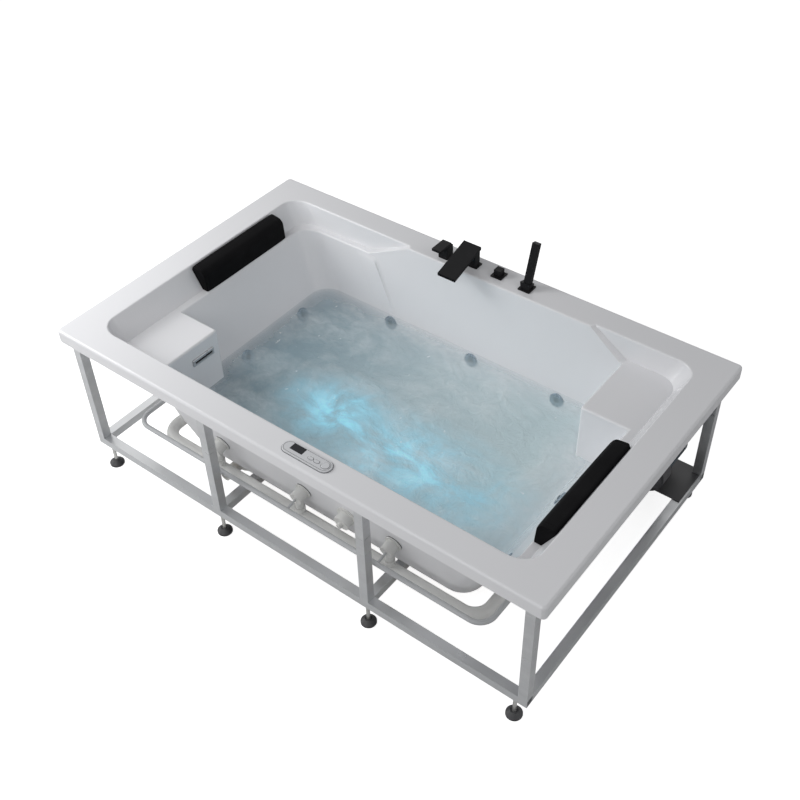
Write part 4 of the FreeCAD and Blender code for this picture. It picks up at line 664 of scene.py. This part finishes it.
@dataclass(frozen=True)
class OblongRing:
    """A closed ring of four-sided section round an oblong with half-round ends, its long side along X."""

    centre: Flat
    size: Flat
    width: float
    low: float
    high: float
    sides: int = 56
    on_middle: float = 1e-6

    def loop(self, mesh: bmesh.types.BMesh, size: Flat, height: float) -> list[bmesh.types.BMVert]:
        """Draw a flat oblong loop.

        Args:
            mesh: the bmesh it is drawn in.
            size: its length and width.
            height: the height it lies at.
        Returns:
            The loop's points in order.
        """
        length, width = size
        drawn = bmesh.ops.create_circle(mesh, segments=self.sides, radius=width / 2, cap_ends=False)
        for vert in drawn["verts"]:
            side = (vert.co.x > self.on_middle) - (vert.co.x < -self.on_middle)
            vert.co.x += side * (length - width) / 2
        bmesh.ops.translate(mesh, vec=(*self.centre, height), verts=drawn["verts"])
        return list(drawn["verts"])

    def draw(self, mesh: bmesh.types.BMesh) -> None:
        """Draw the ring from point to point, because bridging its long loops pairs them wrongly.

        Args:
            mesh: the bmesh it is drawn in.
        """
        inside = (self.size[0] - 2 * self.width, self.size[1] - 2 * self.width)
        section = ((self.size, self.low), (self.size, self.high), (inside, self.high), (inside, self.low))
        loops = [self.loop(mesh, size, height) for size, height in section]
        for one, two in zip(loops, loops[1:] + loops[:1]):
            join_loops(mesh, one, two)


def join_loops(mesh: bmesh.types.BMesh, one: list[bmesh.types.BMVert],
               two: list[bmesh.types.BMVert]) -> None:
    """Join two closed loops of as many points with a band of four-sided faces.

    Args:
        mesh: the bmesh that holds them.
        one: the first loop's points in order.
        two: the second loop's points in the same order.
    """
    for corners in zip(one, one[1:] + one[:1], two[1:] + two[:1], two):
        mesh.faces.new(corners)


# ------------------------------------------------------------------ sub-assemblies
class End(Enum):
    """The two ends of the tub; a piece of the right-hand one is turned half round."""

    LEFT = "left"
    RIGHT = "right"


@dataclass
class TubShell:
    """The moulded shell, with the soft edges that the moulding gives it."""

    edge: float = 0.004
    edge_steps: int = 3
    edge_angle: float = 28.0

    def soften(self, piece: bpy.types.Object) -> None:
        """Round the edges that turn more than edge_angle and even out the shading.

        Args:
            piece: the shell.
        """
        bevel = piece.modifiers.new("edges", "BEVEL")
        bevel.width = self.edge
        bevel.segments = self.edge_steps
        bevel.limit_method = "ANGLE"
        bevel.angle_limit = math.radians(self.edge_angle)
        bevel.harden_normals = True
        bevel.use_clamp_overlap = True
        even_shading(piece)

    def build(self) -> bpy.types.Object:
        """Build the shell's visible mesh.

        Returns:
            The piece that replaces the shell's node.
        """
        mesh = merged_copy("tub_shell")
        piece = new_piece("shell", mesh, FINISHES["acrylic"].material())
        self.soften(piece)
        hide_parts("tub_shell")
        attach(piece, "tub")
        return piece


@dataclass
class WallSteps:
    """The shallow step down each long wall where the seat's wall ends, which fades out at the water.

    Its line runs down the back wall from top to foot. The profile holds, across that line, a place along
    the wall and the share of the full height there. The front wall stands front_out farther out than the
    back one at the ledges' level, and leans more.
    """

    top: Point = (-0.4096, 0.4311, 0.497)
    foot: Point = (-0.3004, 0.4015, 0.306)
    proud: float = 0.0085
    fade: float = 0.4
    ramp: float = 0.08
    sunk: float = 0.0004
    thickness: float = 0.002
    profile: tuple[Flat, ...] = ((-0.09, 0), (-0.045, 0.5), (0, 1), (0.003, 0.5), (0.008, 0.24),
                                 (0.014, 0.09), (0.022, 0))
    rows: int = 16
    sharp_angle: float = 30.0
    front_out: float = 0.012

    def shape_at_back(self, mesh: bmesh.types.BMesh) -> None:
        """Draw the back wall's step, sunk a little into the wall.

        Args:
            mesh: the empty bmesh it is drawn in.
        """
        columns = len(self.profile) - 1
        bmesh.ops.create_grid(mesh, x_segments=columns, y_segments=self.rows, size=0.5)
        top, foot = Vector(self.top), Vector(self.foot)
        normal = Vector((0, -1, PLAN.back_lean)).normalized()
        for vert in mesh.verts:
            across, share = self.profile[round((vert.co.x + 0.5) * columns)]
            down = vert.co.y + 0.5
            height = self.proud * share * min(1, down / self.ramp) * (1 - down) ** self.fade - self.sunk
            vert.co = top.lerp(foot, down) + Vector((across, 0, 0)) + normal * height
        bmesh.ops.recalc_face_normals(mesh, faces=mesh.faces)
        bmesh.ops.solidify(mesh, geom=mesh.faces, thickness=self.thickness)

    def repeat_at_front(self, mesh: bmesh.types.BMesh) -> None:
        """Turn a copy of the step half round and set it on the front wall's lean.

        Args:
            mesh: the bmesh that holds the back wall's step.
        """
        copied = bmesh.ops.duplicate(mesh, geom=mesh.verts[:] + mesh.edges[:] + mesh.faces[:])["geom"]
        turned = [part for part in copied if isinstance(part, bmesh.types.BMVert)]
        bmesh.ops.rotate(mesh, cent=(0, 0, 0), matrix=HALF_TURN, verts=turned)
        more_lean = PLAN.front_lean - PLAN.back_lean
        for vert in turned:
            vert.co.y -= self.front_out - more_lean * (PLAN.shelf - vert.co.z)

    def build(self) -> bpy.types.Object:
        """Build both steps as one piece.

        Returns:
            The piece.
        """
        mesh = bmesh.new()
        self.shape_at_back(mesh)
        self.repeat_at_front(mesh)
        bmesh.ops.recalc_face_normals(mesh, faces=mesh.faces)
        for side in mesh.edges:
            side.smooth = side.calc_face_angle(0) < math.radians(self.sharp_angle)
        piece = new_piece("wall_steps", mesh, FINISHES["acrylic"].material())
        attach(piece, "tub")
        return piece


@dataclass
class Carried:
    """The frame's own nodes, each dressed in the finish of its slot or in one of its own."""

    # the jets' faces take the darker copy of the chrome, which is painted shade
    own: tuple[tuple[str, str], ...] = (("jet_faces", "shaded_jet_chrome"), ("overflow_cover", "cover_plate"))

    def dress(self) -> int:
        """Give every node its material.

        Returns:
            How many nodes were dressed.
        """
        own = dict(self.own)
        materials: dict[str, bpy.types.Material] = {}
        for entry in frame["record"]["subparts"]:
            finish = own.get(entry["node"], entry["material_slot"])
            if finish not in materials:
                materials[finish] = FINISHES[finish].material()
            data = frame["nodes"][entry["node"]].data
            data.materials.clear()
            data.materials.append(materials[finish])
            for piece_face in data.polygons:
                piece_face.material_index = 0
        return len(frame["record"]["subparts"])


@dataclass
class Pillow:
    """A black soaking pillow: flat top and face, round nose, and flat ends with a seam beside each.

    The outline holds x, height from the rim and rounding for each corner of its section. The section
    swells from the core, which is x and height from the rim too.
    """

    end: End
    start: float = -0.062
    length: float = 0.392
    outline: tuple[Point, ...] = (
        (-0.7535, -0.0797, 0), (-0.7300, -0.0797, 0.002), (-0.7322, -0.046, 0.015), (-0.7350, -0.0165, 0.006),
        (-0.7470, -0.0028, 0.006), (-0.7650, 0.0006, 0.006), (-0.7870, 0.0026, 0.002),
        (-0.7935, -0.0105, 0.002))
    rounding_steps: int = 4
    core: Flat = (-0.7735, -0.0451)
    crown: float = 0.02
    crown_power: int = 4
    drawn_in: float = 0.045
    end_power: int = 40
    end_round: float = 0.0035
    end_steps: int = 4
    seam_at: float = 0.0135
    seam_depth: float = 0.012
    seam_half: float = 0.0016
    plain_from: float = 0.02
    spans: int = 22
    above_ledge: float = 0.0003

    def girth(self, place: float) -> float:
        """How large the section is at a distance from the start, where 1 is the plain size."""
        across = abs(2 * place / self.length - 1)
        return 1 + self.crown * (1 - across ** self.crown_power) - self.drawn_in * across ** self.end_power

    def stations(self) -> list[Flat]:
        """Places along the pillow and the section's size there.

        Returns:
            Pairs of a distance from the start and a size, from one end to the other.
        """
        first = []
        for step in range(self.end_steps + 1):
            angle = math.radians(90 * step / self.end_steps)
            place = self.end_round * (1 - math.cos(angle))
            first.append((place, self.girth(self.end_round) - self.drawn_in * (1 - math.sin(angle))))
        first.append((self.seam_at - self.seam_half, self.girth(self.seam_at)))
        first.append((self.seam_at, self.girth(self.seam_at) - self.seam_depth))
        first.append((self.seam_at + self.seam_half, self.girth(self.seam_at)))
        plain = self.length - 2 * self.plain_from
        inner = [self.plain_from + plain * step / self.spans for step in range(self.spans + 1)]
        last = [(self.length - place, size) for place, size in reversed(first)]
        return first + [(place, self.girth(place)) for place in inner] + last

    def section(self, mesh: bmesh.types.BMesh) -> bmesh.types.BMFace:
        """Draw the rounded section at the pillow's start.

        Args:
            mesh: the bmesh it is drawn in.
        Returns:
            The section's face.
        """
        corners = [(mesh.verts.new((x, self.start, PLAN.rim + z)), rounding)
                   for x, z, rounding in self.outline]
        mesh.faces.new([corner for corner, _ in corners])
        for corner, rounding in corners:
            if rounding:
                bmesh.ops.bevel(mesh, geom=[corner], offset=rounding, offset_type="OFFSET", affect="VERTICES",
                                segments=self.rounding_steps, profile=0.5, material=-1)
        return next(iter(mesh.faces))

    def swell(self, mesh: bmesh.types.BMesh, section: bmesh.types.BMFace, ratio: float) -> None:
        """Make a section larger or smaller about the core.

        Args:
            mesh: the bmesh that holds it.
            section: the section's face.
            ratio: its new size over its old one.
        """
        middle = Vector((self.core[0], 0, PLAN.rim + self.core[1]))
        bmesh.ops.scale(mesh, vec=(ratio, 1, ratio), verts=list(section.verts),
                        space=Matrix.Translation(-middle))

    def draw_along(self, mesh: bmesh.types.BMesh) -> None:
        """Draw the section along the tub's end, station by station.

        Args:
            mesh: the empty bmesh that the pillow is drawn in.
        """
        section = self.section(mesh)
        stations = self.stations()
        self.swell(mesh, section, stations[0][1])
        for (place, size), (next_place, next_size) in zip(stations, stations[1:]):
            drawn = bmesh.ops.extrude_face_region(mesh, geom=[section])
            section = next(part for part in drawn["geom"] if isinstance(part, bmesh.types.BMFace))
            bmesh.ops.translate(mesh, vec=(0, next_place - place, 0), verts=list(section.verts))
            self.swell(mesh, section, next_size / size)

    def build(self) -> bpy.types.Object:
        """Build the pillow, which lies just above its ledge.

        Returns:
            The piece that replaces the pillow's node.
        """
        mesh = bmesh.new()
        self.draw_along(mesh)
        for vert in mesh.verts:
            vert.co.z = max(vert.co.z, PLAN.shelf + self.above_ledge)
        bmesh.ops.recalc_face_normals(mesh, faces=mesh.faces)
        if self.end is End.RIGHT:
            bmesh.ops.rotate(mesh, cent=(0, 0, 0), matrix=HALF_TURN, verts=mesh.verts)
        node = f"pillow_{self.end.value}"
        piece = new_piece(f"{node}_cushion", mesh, FINISHES["foam"].material())
        even_shading(piece)
        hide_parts(node)
        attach(piece, node)
        return piece


@dataclass
class JetTrim:
    """The swirled ribs on the face of every jet, in a lighter copy of the jets' chrome as a painted
    highlight, which show as a fine radial pattern.
    """

    ribs: int = 14
    rib_size: Point = (0.0072, 0.0014, 0.0011)
    rib_at: float = 0.0193
    face: float = 0.0042
    ball_depth: float = 0.004
    swirl: float = 24.0

    def poses(self) -> list[Matrix]:
        """Where the jets are.

        Returns:
            A matrix for each jet that turns +Z to its normal and moves the origin to its middle.
        """
        leans = {"back": PLAN.back_lean, "front": PLAN.front_lean, "left": PLAN.backrest_lean,
                 "right": PLAN.backrest_lean}
        found = []
        for joint in frame["record"]["behaviour"]["joints"]:
            kind, _, rest = joint["name"].partition("_")
            if kind != "nozzle":
                continue
            across = Vector(joint["axis"])
            level = across.cross(Vector((0, 0, 1)))
            normal = (level + Vector((0, 0, leans[rest.partition("_")[0]]))).normalized()
            turn = Matrix((across, normal.cross(across), normal)).transposed()
            middle = Vector(joint["pos_m"]) + normal * self.ball_depth
            found.append(Matrix.Translation(middle) @ turn.to_4x4())
        return found

    def ring_of_ribs(self, mesh: bmesh.types.BMesh) -> list[bmesh.types.BMVert]:
        """Draw one jet's ribs round +Z.

        Args:
            mesh: the bmesh they are drawn in.
        Returns:
            The points of the ribs.
        """
        before = set(mesh.verts)
        rib = bmesh.ops.create_cube(mesh, size=1)["verts"]
        bmesh.ops.scale(mesh, vec=self.rib_size, verts=rib)
        swirl = Matrix.Rotation(math.radians(self.swirl), 3, "Z")
        bmesh.ops.rotate(mesh, cent=(0, 0, 0), matrix=swirl, verts=rib)
        bmesh.ops.translate(mesh, vec=(self.rib_at, 0, self.face), verts=rib)
        faces = list({one for vert in rib for one in vert.link_faces})
        bmesh.ops.spin(mesh, geom=rib + faces, cent=(0, 0, 0), axis=(0, 0, 1), dvec=(0, 0, 0),
                       angle=2 * math.pi * (self.ribs - 1) / self.ribs, steps=self.ribs - 1,
                       use_duplicate=True)
        return [vert for vert in mesh.verts if vert not in before]

    def build(self) -> bpy.types.Object:
        """Build the ribs of all the jets as one piece.

        Returns:
            The piece.
        """
        mesh = bmesh.new()
        for pose in self.poses():
            bmesh.ops.transform(mesh, matrix=pose, verts=self.ring_of_ribs(mesh))
        piece = new_piece("jet_ribs", mesh, FINISHES["lit_rib_chrome"].material(), smooth=False)
        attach(piece, "tub")
        return piece


@dataclass
class PanelTrim:
    """The control panel's fine lines: a dark seal on the rim that also serves as painted shadow round the
    panel's foot, a joint round the plate and the keys' rims.
    """

    centre: Flat = (0.104, -0.502)
    size: Flat = (0.172, 0.046)
    top: float = 0.5845
    key_size: Flat = (0.018, 0.010)
    key_places: tuple[Flat, ...] = ((0.118, -0.503), (0.140, -0.503))
    power_place: Flat = (0.169, -0.501)
    power_size: float = 0.024
    seal_past: float = 0.003
    seal_width: float = 0.0022
    seal_proud: float = 0.0011
    joint_inside: float = 0.009
    key_gap: float = 0.0022
    line_width: float = 0.0009
    line_proud: float = 0.00012
    sunk: float = 0.0002

    def line(self, mesh: bmesh.types.BMesh, centre: Flat, size: Flat) -> None:
        """Draw a fine line on the panel's top.

        Args:
            mesh: the bmesh it is drawn in.
            centre: the middle of the oblong that it goes round.
            size: the oblong's length and width.
        """
        low, high = self.top - self.sunk, self.top + self.line_proud
        OblongRing(centre, size, self.line_width, low, high).draw(mesh)

    def build(self) -> list[bpy.types.Object]:
        """Build the seal, darkened as painted shadow, and the lines.

        Returns:
            The two pieces.
        """
        seal_and_shadow, lines = bmesh.new(), bmesh.new()
        around = tuple(side + self.seal_past for side in self.size)
        low, high = PLAN.rim - self.sunk, PLAN.rim + self.seal_proud
        OblongRing(self.centre, around, self.seal_width, low, high).draw(seal_and_shadow)
        self.line(lines, self.centre, tuple(side - self.joint_inside for side in self.size))
        for place in self.key_places:
            self.line(lines, place, tuple(side + self.key_gap for side in self.key_size))
        self.line(lines, self.power_place, (self.power_size + self.key_gap,) * 2)
        pieces = []
        for name, mesh, finish in (("panel_seal_and_shadow", seal_and_shadow, "seal_and_shadow_bead"), ("panel_lines", lines, "joint_line_and_slot_shade")):
            bmesh.ops.recalc_face_normals(mesh, faces=mesh.faces)
            piece = new_piece(name, mesh, FINISHES[finish].material(), smooth=False)
            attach(piece, "tub")
            pieces.append(piece)
        return pieces


@dataclass
class OverflowShadeGrid:
    """A dark plate with upright ribs behind the overflow's slot: the plate is painted shade for the slot's
    dark inside.
    """

    middle: Point = (-0.5643, -0.2635, 0.439)
    size: Point = (0.0008, 0.079, 0.0125)
    bars: int = 13
    bar_size: Flat = (0.001, 0.0012)
    bar_share: float = 0.94
    bar_out: float = 0.0008

    def build(self) -> bpy.types.Object:
        """Build the grid: a dark plate, as painted shade, with upright bars.

        Returns:
            The piece.
        """
        mesh = bmesh.new()
        plate = bmesh.ops.create_cube(mesh, size=1)["verts"]
        bmesh.ops.scale(mesh, vec=self.size, verts=plate)
        for number in range(self.bars):
            bar = bmesh.ops.create_cube(mesh, size=1)["verts"]
            bmesh.ops.scale(mesh, vec=(*self.bar_size, self.size[2] * self.bar_share), verts=bar)
            along = self.size[1] * ((number + 0.5) / self.bars - 0.5)
            bmesh.ops.translate(mesh, vec=(self.bar_out, along, 0), verts=bar)
        bmesh.ops.translate(mesh, vec=self.middle, verts=mesh.verts)
        piece = new_piece("overflow_shade_grid", mesh, FINISHES["joint_line_and_slot_shade"].material(), smooth=False)
        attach(piece, "tub")
        return piece


@dataclass
class Water:
    """The bath water for the picture, which isn't part of the tub.

    Its surface is drawn as rings inwards from the walls; shallows holds their distances and clearness how
    much the water covers there.
    """

    overlap: float = 0.002
    end: float = 0.628
    side: float = 0.4
    corner: float = 0.075
    least_corner: float = 0.02
    corner_steps: int = 6
    shallows: tuple[float, ...] = (0.0, 0.02, 0.045, 0.075, 0.11, 0.15)
    clearness: tuple[float, ...] = (0.15, 0.38, 0.56, 0.74, 0.9, 1.0)

    def ring(self, inward: float) -> list[Flat]:
        """The water's outline at a distance from the walls.

        Args:
            inward: the distance, in metres.
        Returns:
            The outline's points in order, as many for every distance.
        """
        end, side = self.end + self.overlap - inward, self.side + self.overlap - inward
        ledge = (PLAN.ledge_x + self.overlap - inward, PLAN.ledge_y + self.overlap - inward)
        radius = max(self.corner - inward, self.least_corner)
        arc = []
        for step in range(self.corner_steps + 1):
            angle = math.radians(90 * step / self.corner_steps)
            arc.append((end - radius + radius * math.sin(angle), -side + radius - radius * math.cos(angle)))
        half = [(-ledge[0], -side), *arc, (end, ledge[1])]
        return half + [(-x, -y) for x, y in half]

    def build(self) -> bpy.types.Object:
        """Build the water's surface, which casts no shadow on what lies below it.

        Returns:
            The staged surface.
        """
        mesh = bmesh.new()
        depth = mesh.verts.layers.float.new("depth")
        rings = []
        for inward, value in zip(self.shallows, self.clearness):
            rings.append([mesh.verts.new((x, y, PLAN.water)) for x, y in self.ring(inward)])
            for vert in rings[-1]:
                vert[depth] = value
        for outer, inner in zip(rings, rings[1:]):
            join_loops(mesh, outer, inner)
        middle = mesh.faces.new(rings[-1])
        bmesh.ops.triangulate(mesh, faces=[middle])
        piece = new_piece("bath_water", mesh, ChurnedWater().material(), smooth=False)
        piece.visible_shadow = False
        return piece


# ------------------------------------------------------------------ studio
@dataclass
class PhotoCamera:
    """The camera of the photograph, found from the rim's corners."""

    azimuth: float = 38.766
    elevation: float = 42.877
    roll: float = -1.790
    distance: float = 3.1772
    target: Point = (0.1699, -0.1700, 0.580)
    lens: float = 49.565
    sensor: float = 36.0

    def place(self) -> bpy.types.Object:
        """Place the camera and make it the scene's.

        Returns:
            The camera object.
        """
        data = bpy.data.cameras.new("photo_camera")
        data.lens = self.lens
        data.sensor_width = self.sensor
        camera = bpy.data.objects.new("photo_camera", data)
        az, el = math.radians(self.azimuth), math.radians(self.elevation)
        back = Vector((math.sin(az) * math.cos(el), -math.cos(az) * math.cos(el), math.sin(el)))
        right = Vector((0, 0, 1)).cross(back).normalized()
        up = back.cross(right)
        turn = Matrix((right, up, back)).transposed() @ Matrix.Rotation(math.radians(self.roll), 3, "Z")
        camera.matrix_world = Matrix.Translation(Vector(self.target) + back * self.distance) @ turn.to_4x4()
        bpy.context.scene.collection.objects.link(camera)
        bpy.context.scene.camera = camera
        return camera


@dataclass(frozen=True)
class Lamp:
    """A square area lamp of the studio: where it hangs and points, its side in metres and its power."""

    name: str
    place: Point
    aim: Point
    size: float
    power: float

    def hang(self) -> bpy.types.Object:
        """Hang the lamp and turn it to its aim.

        Returns:
            The lamp object.
        """
        data = bpy.data.lights.new(self.name, "AREA")
        data.shape = "SQUARE"
        data.size = self.size
        data.energy = self.power
        lamp = bpy.data.objects.new(self.name, data)
        lamp.location = self.place
        way = Vector(self.aim) - Vector(self.place)
        lamp.rotation_euler = way.to_track_quat("-Z", "Y").to_euler()
        bpy.context.scene.collection.objects.link(lamp)
        return lamp


@dataclass
class Studio:
    """A pale floor, a white surround and soft lamps."""

    floor_size: float = 14.0
    floor_colour: Colour = (0.8, 0.8, 0.8)
    floor_roughness: float = 0.9
    floor_specular: float = 0.1
    floor_glow: float = 0.8
    fill: float = 0.25
    fill_colour: Colour = (0.97, 0.98, 1)
    lamps: tuple[Lamp, ...] = (
        Lamp("key", place=(-3.0, -1.4, 1.9), aim=(-0.2, 0, 0.5), size=1.6, power=50),
        Lamp("front", place=(0, -3.0, 2.4), aim=(0, 0, 0.5), size=2.0, power=24),
        Lamp("near_end", place=(-1.5, -0.6, 1.7), aim=(-0.8, 0, 0.5), size=0.8, power=7.6),
        Lamp("far_end", place=(3.0, 0.3, 2.4), aim=(0, 0, 0.5), size=2.0, power=14),
    )

    def lay_floor(self) -> bpy.types.Object:
        """Lay the floor, which shows white but keeps the tub's shadow.

        Returns:
            The staged floor.
        """
        mesh = bmesh.new()
        bmesh.ops.create_grid(mesh, x_segments=1, y_segments=1, size=self.floor_size / 2)
        sheet = ShaderSheet("pale_floor")
        sheet.set(base_color=(*self.floor_colour, 1), roughness=self.floor_roughness,
                  specular_ior_level=self.floor_specular, emission_color=(1, 1, 1, 1))
        seen = sheet.node("ShaderNodeLightPath").outputs["Is Camera Ray"]
        sheet.set(emission_strength=sheet.sum("MULTIPLY", seen, self.floor_glow))
        floor = new_piece("floor", mesh, sheet.material, smooth=False)
        return floor

    def surround(self) -> None:
        """Make the surround white to the camera and in reflections, and a soft fill elsewhere."""
        world = bpy.data.worlds.new("surround")
        world.use_nodes = True
        sheet = NodeSheet(world.node_tree)
        rays = sheet.node("ShaderNodeLightPath").outputs
        bounced = sheet.sum("MAXIMUM", rays["Is Glossy Ray"], rays["Is Transmission Ray"])
        mix = sheet.node("ShaderNodeMixShader", fac=sheet.sum("MAXIMUM", rays["Is Camera Ray"], bounced))
        lights = ((self.fill_colour, self.fill), ((1, 1, 1), 1.0))
        for socket, (colour, strength) in zip(list(mix.inputs)[1:], lights):
            light = sheet.node("ShaderNodeBackground", color=(*colour, 1), strength=strength)
            sheet.put(light.outputs["Background"], socket)
        sheet.node("ShaderNodeOutputWorld", surface=mix.outputs["Shader"])
        bpy.context.scene.world = world

    def build(self) -> None:
        """Set up the floor, the surround and the lamps."""
        self.lay_floor()
        self.surround()
        for lamp in self.lamps:
            lamp.hang()
        bpy.context.scene.view_settings.view_transform = "Standard"


def main() -> None:
    """Build the tub's looks and the studio round it."""
    logging.basicConfig(level=logging.INFO, format="%(message)s")
    PhotoCamera().place()
    Studio().build()
    LOG.info("dressed %d nodes", Carried().dress())
    LOG.info("built %s", TubShell().build().name)
    LOG.info("built %s", WallSteps().build().name)
    for end in End:
        LOG.info("built %s", Pillow(end).build().name)
    LOG.info("built %s", JetTrim().build().name)
    for piece in PanelTrim().build():
        LOG.info("built %s", piece.name)
    LOG.info("built %s", OverflowShadeGrid().build().name)
    LOG.info("staged %s", Water().build().name)


if __name__ == "__main__":
    main()
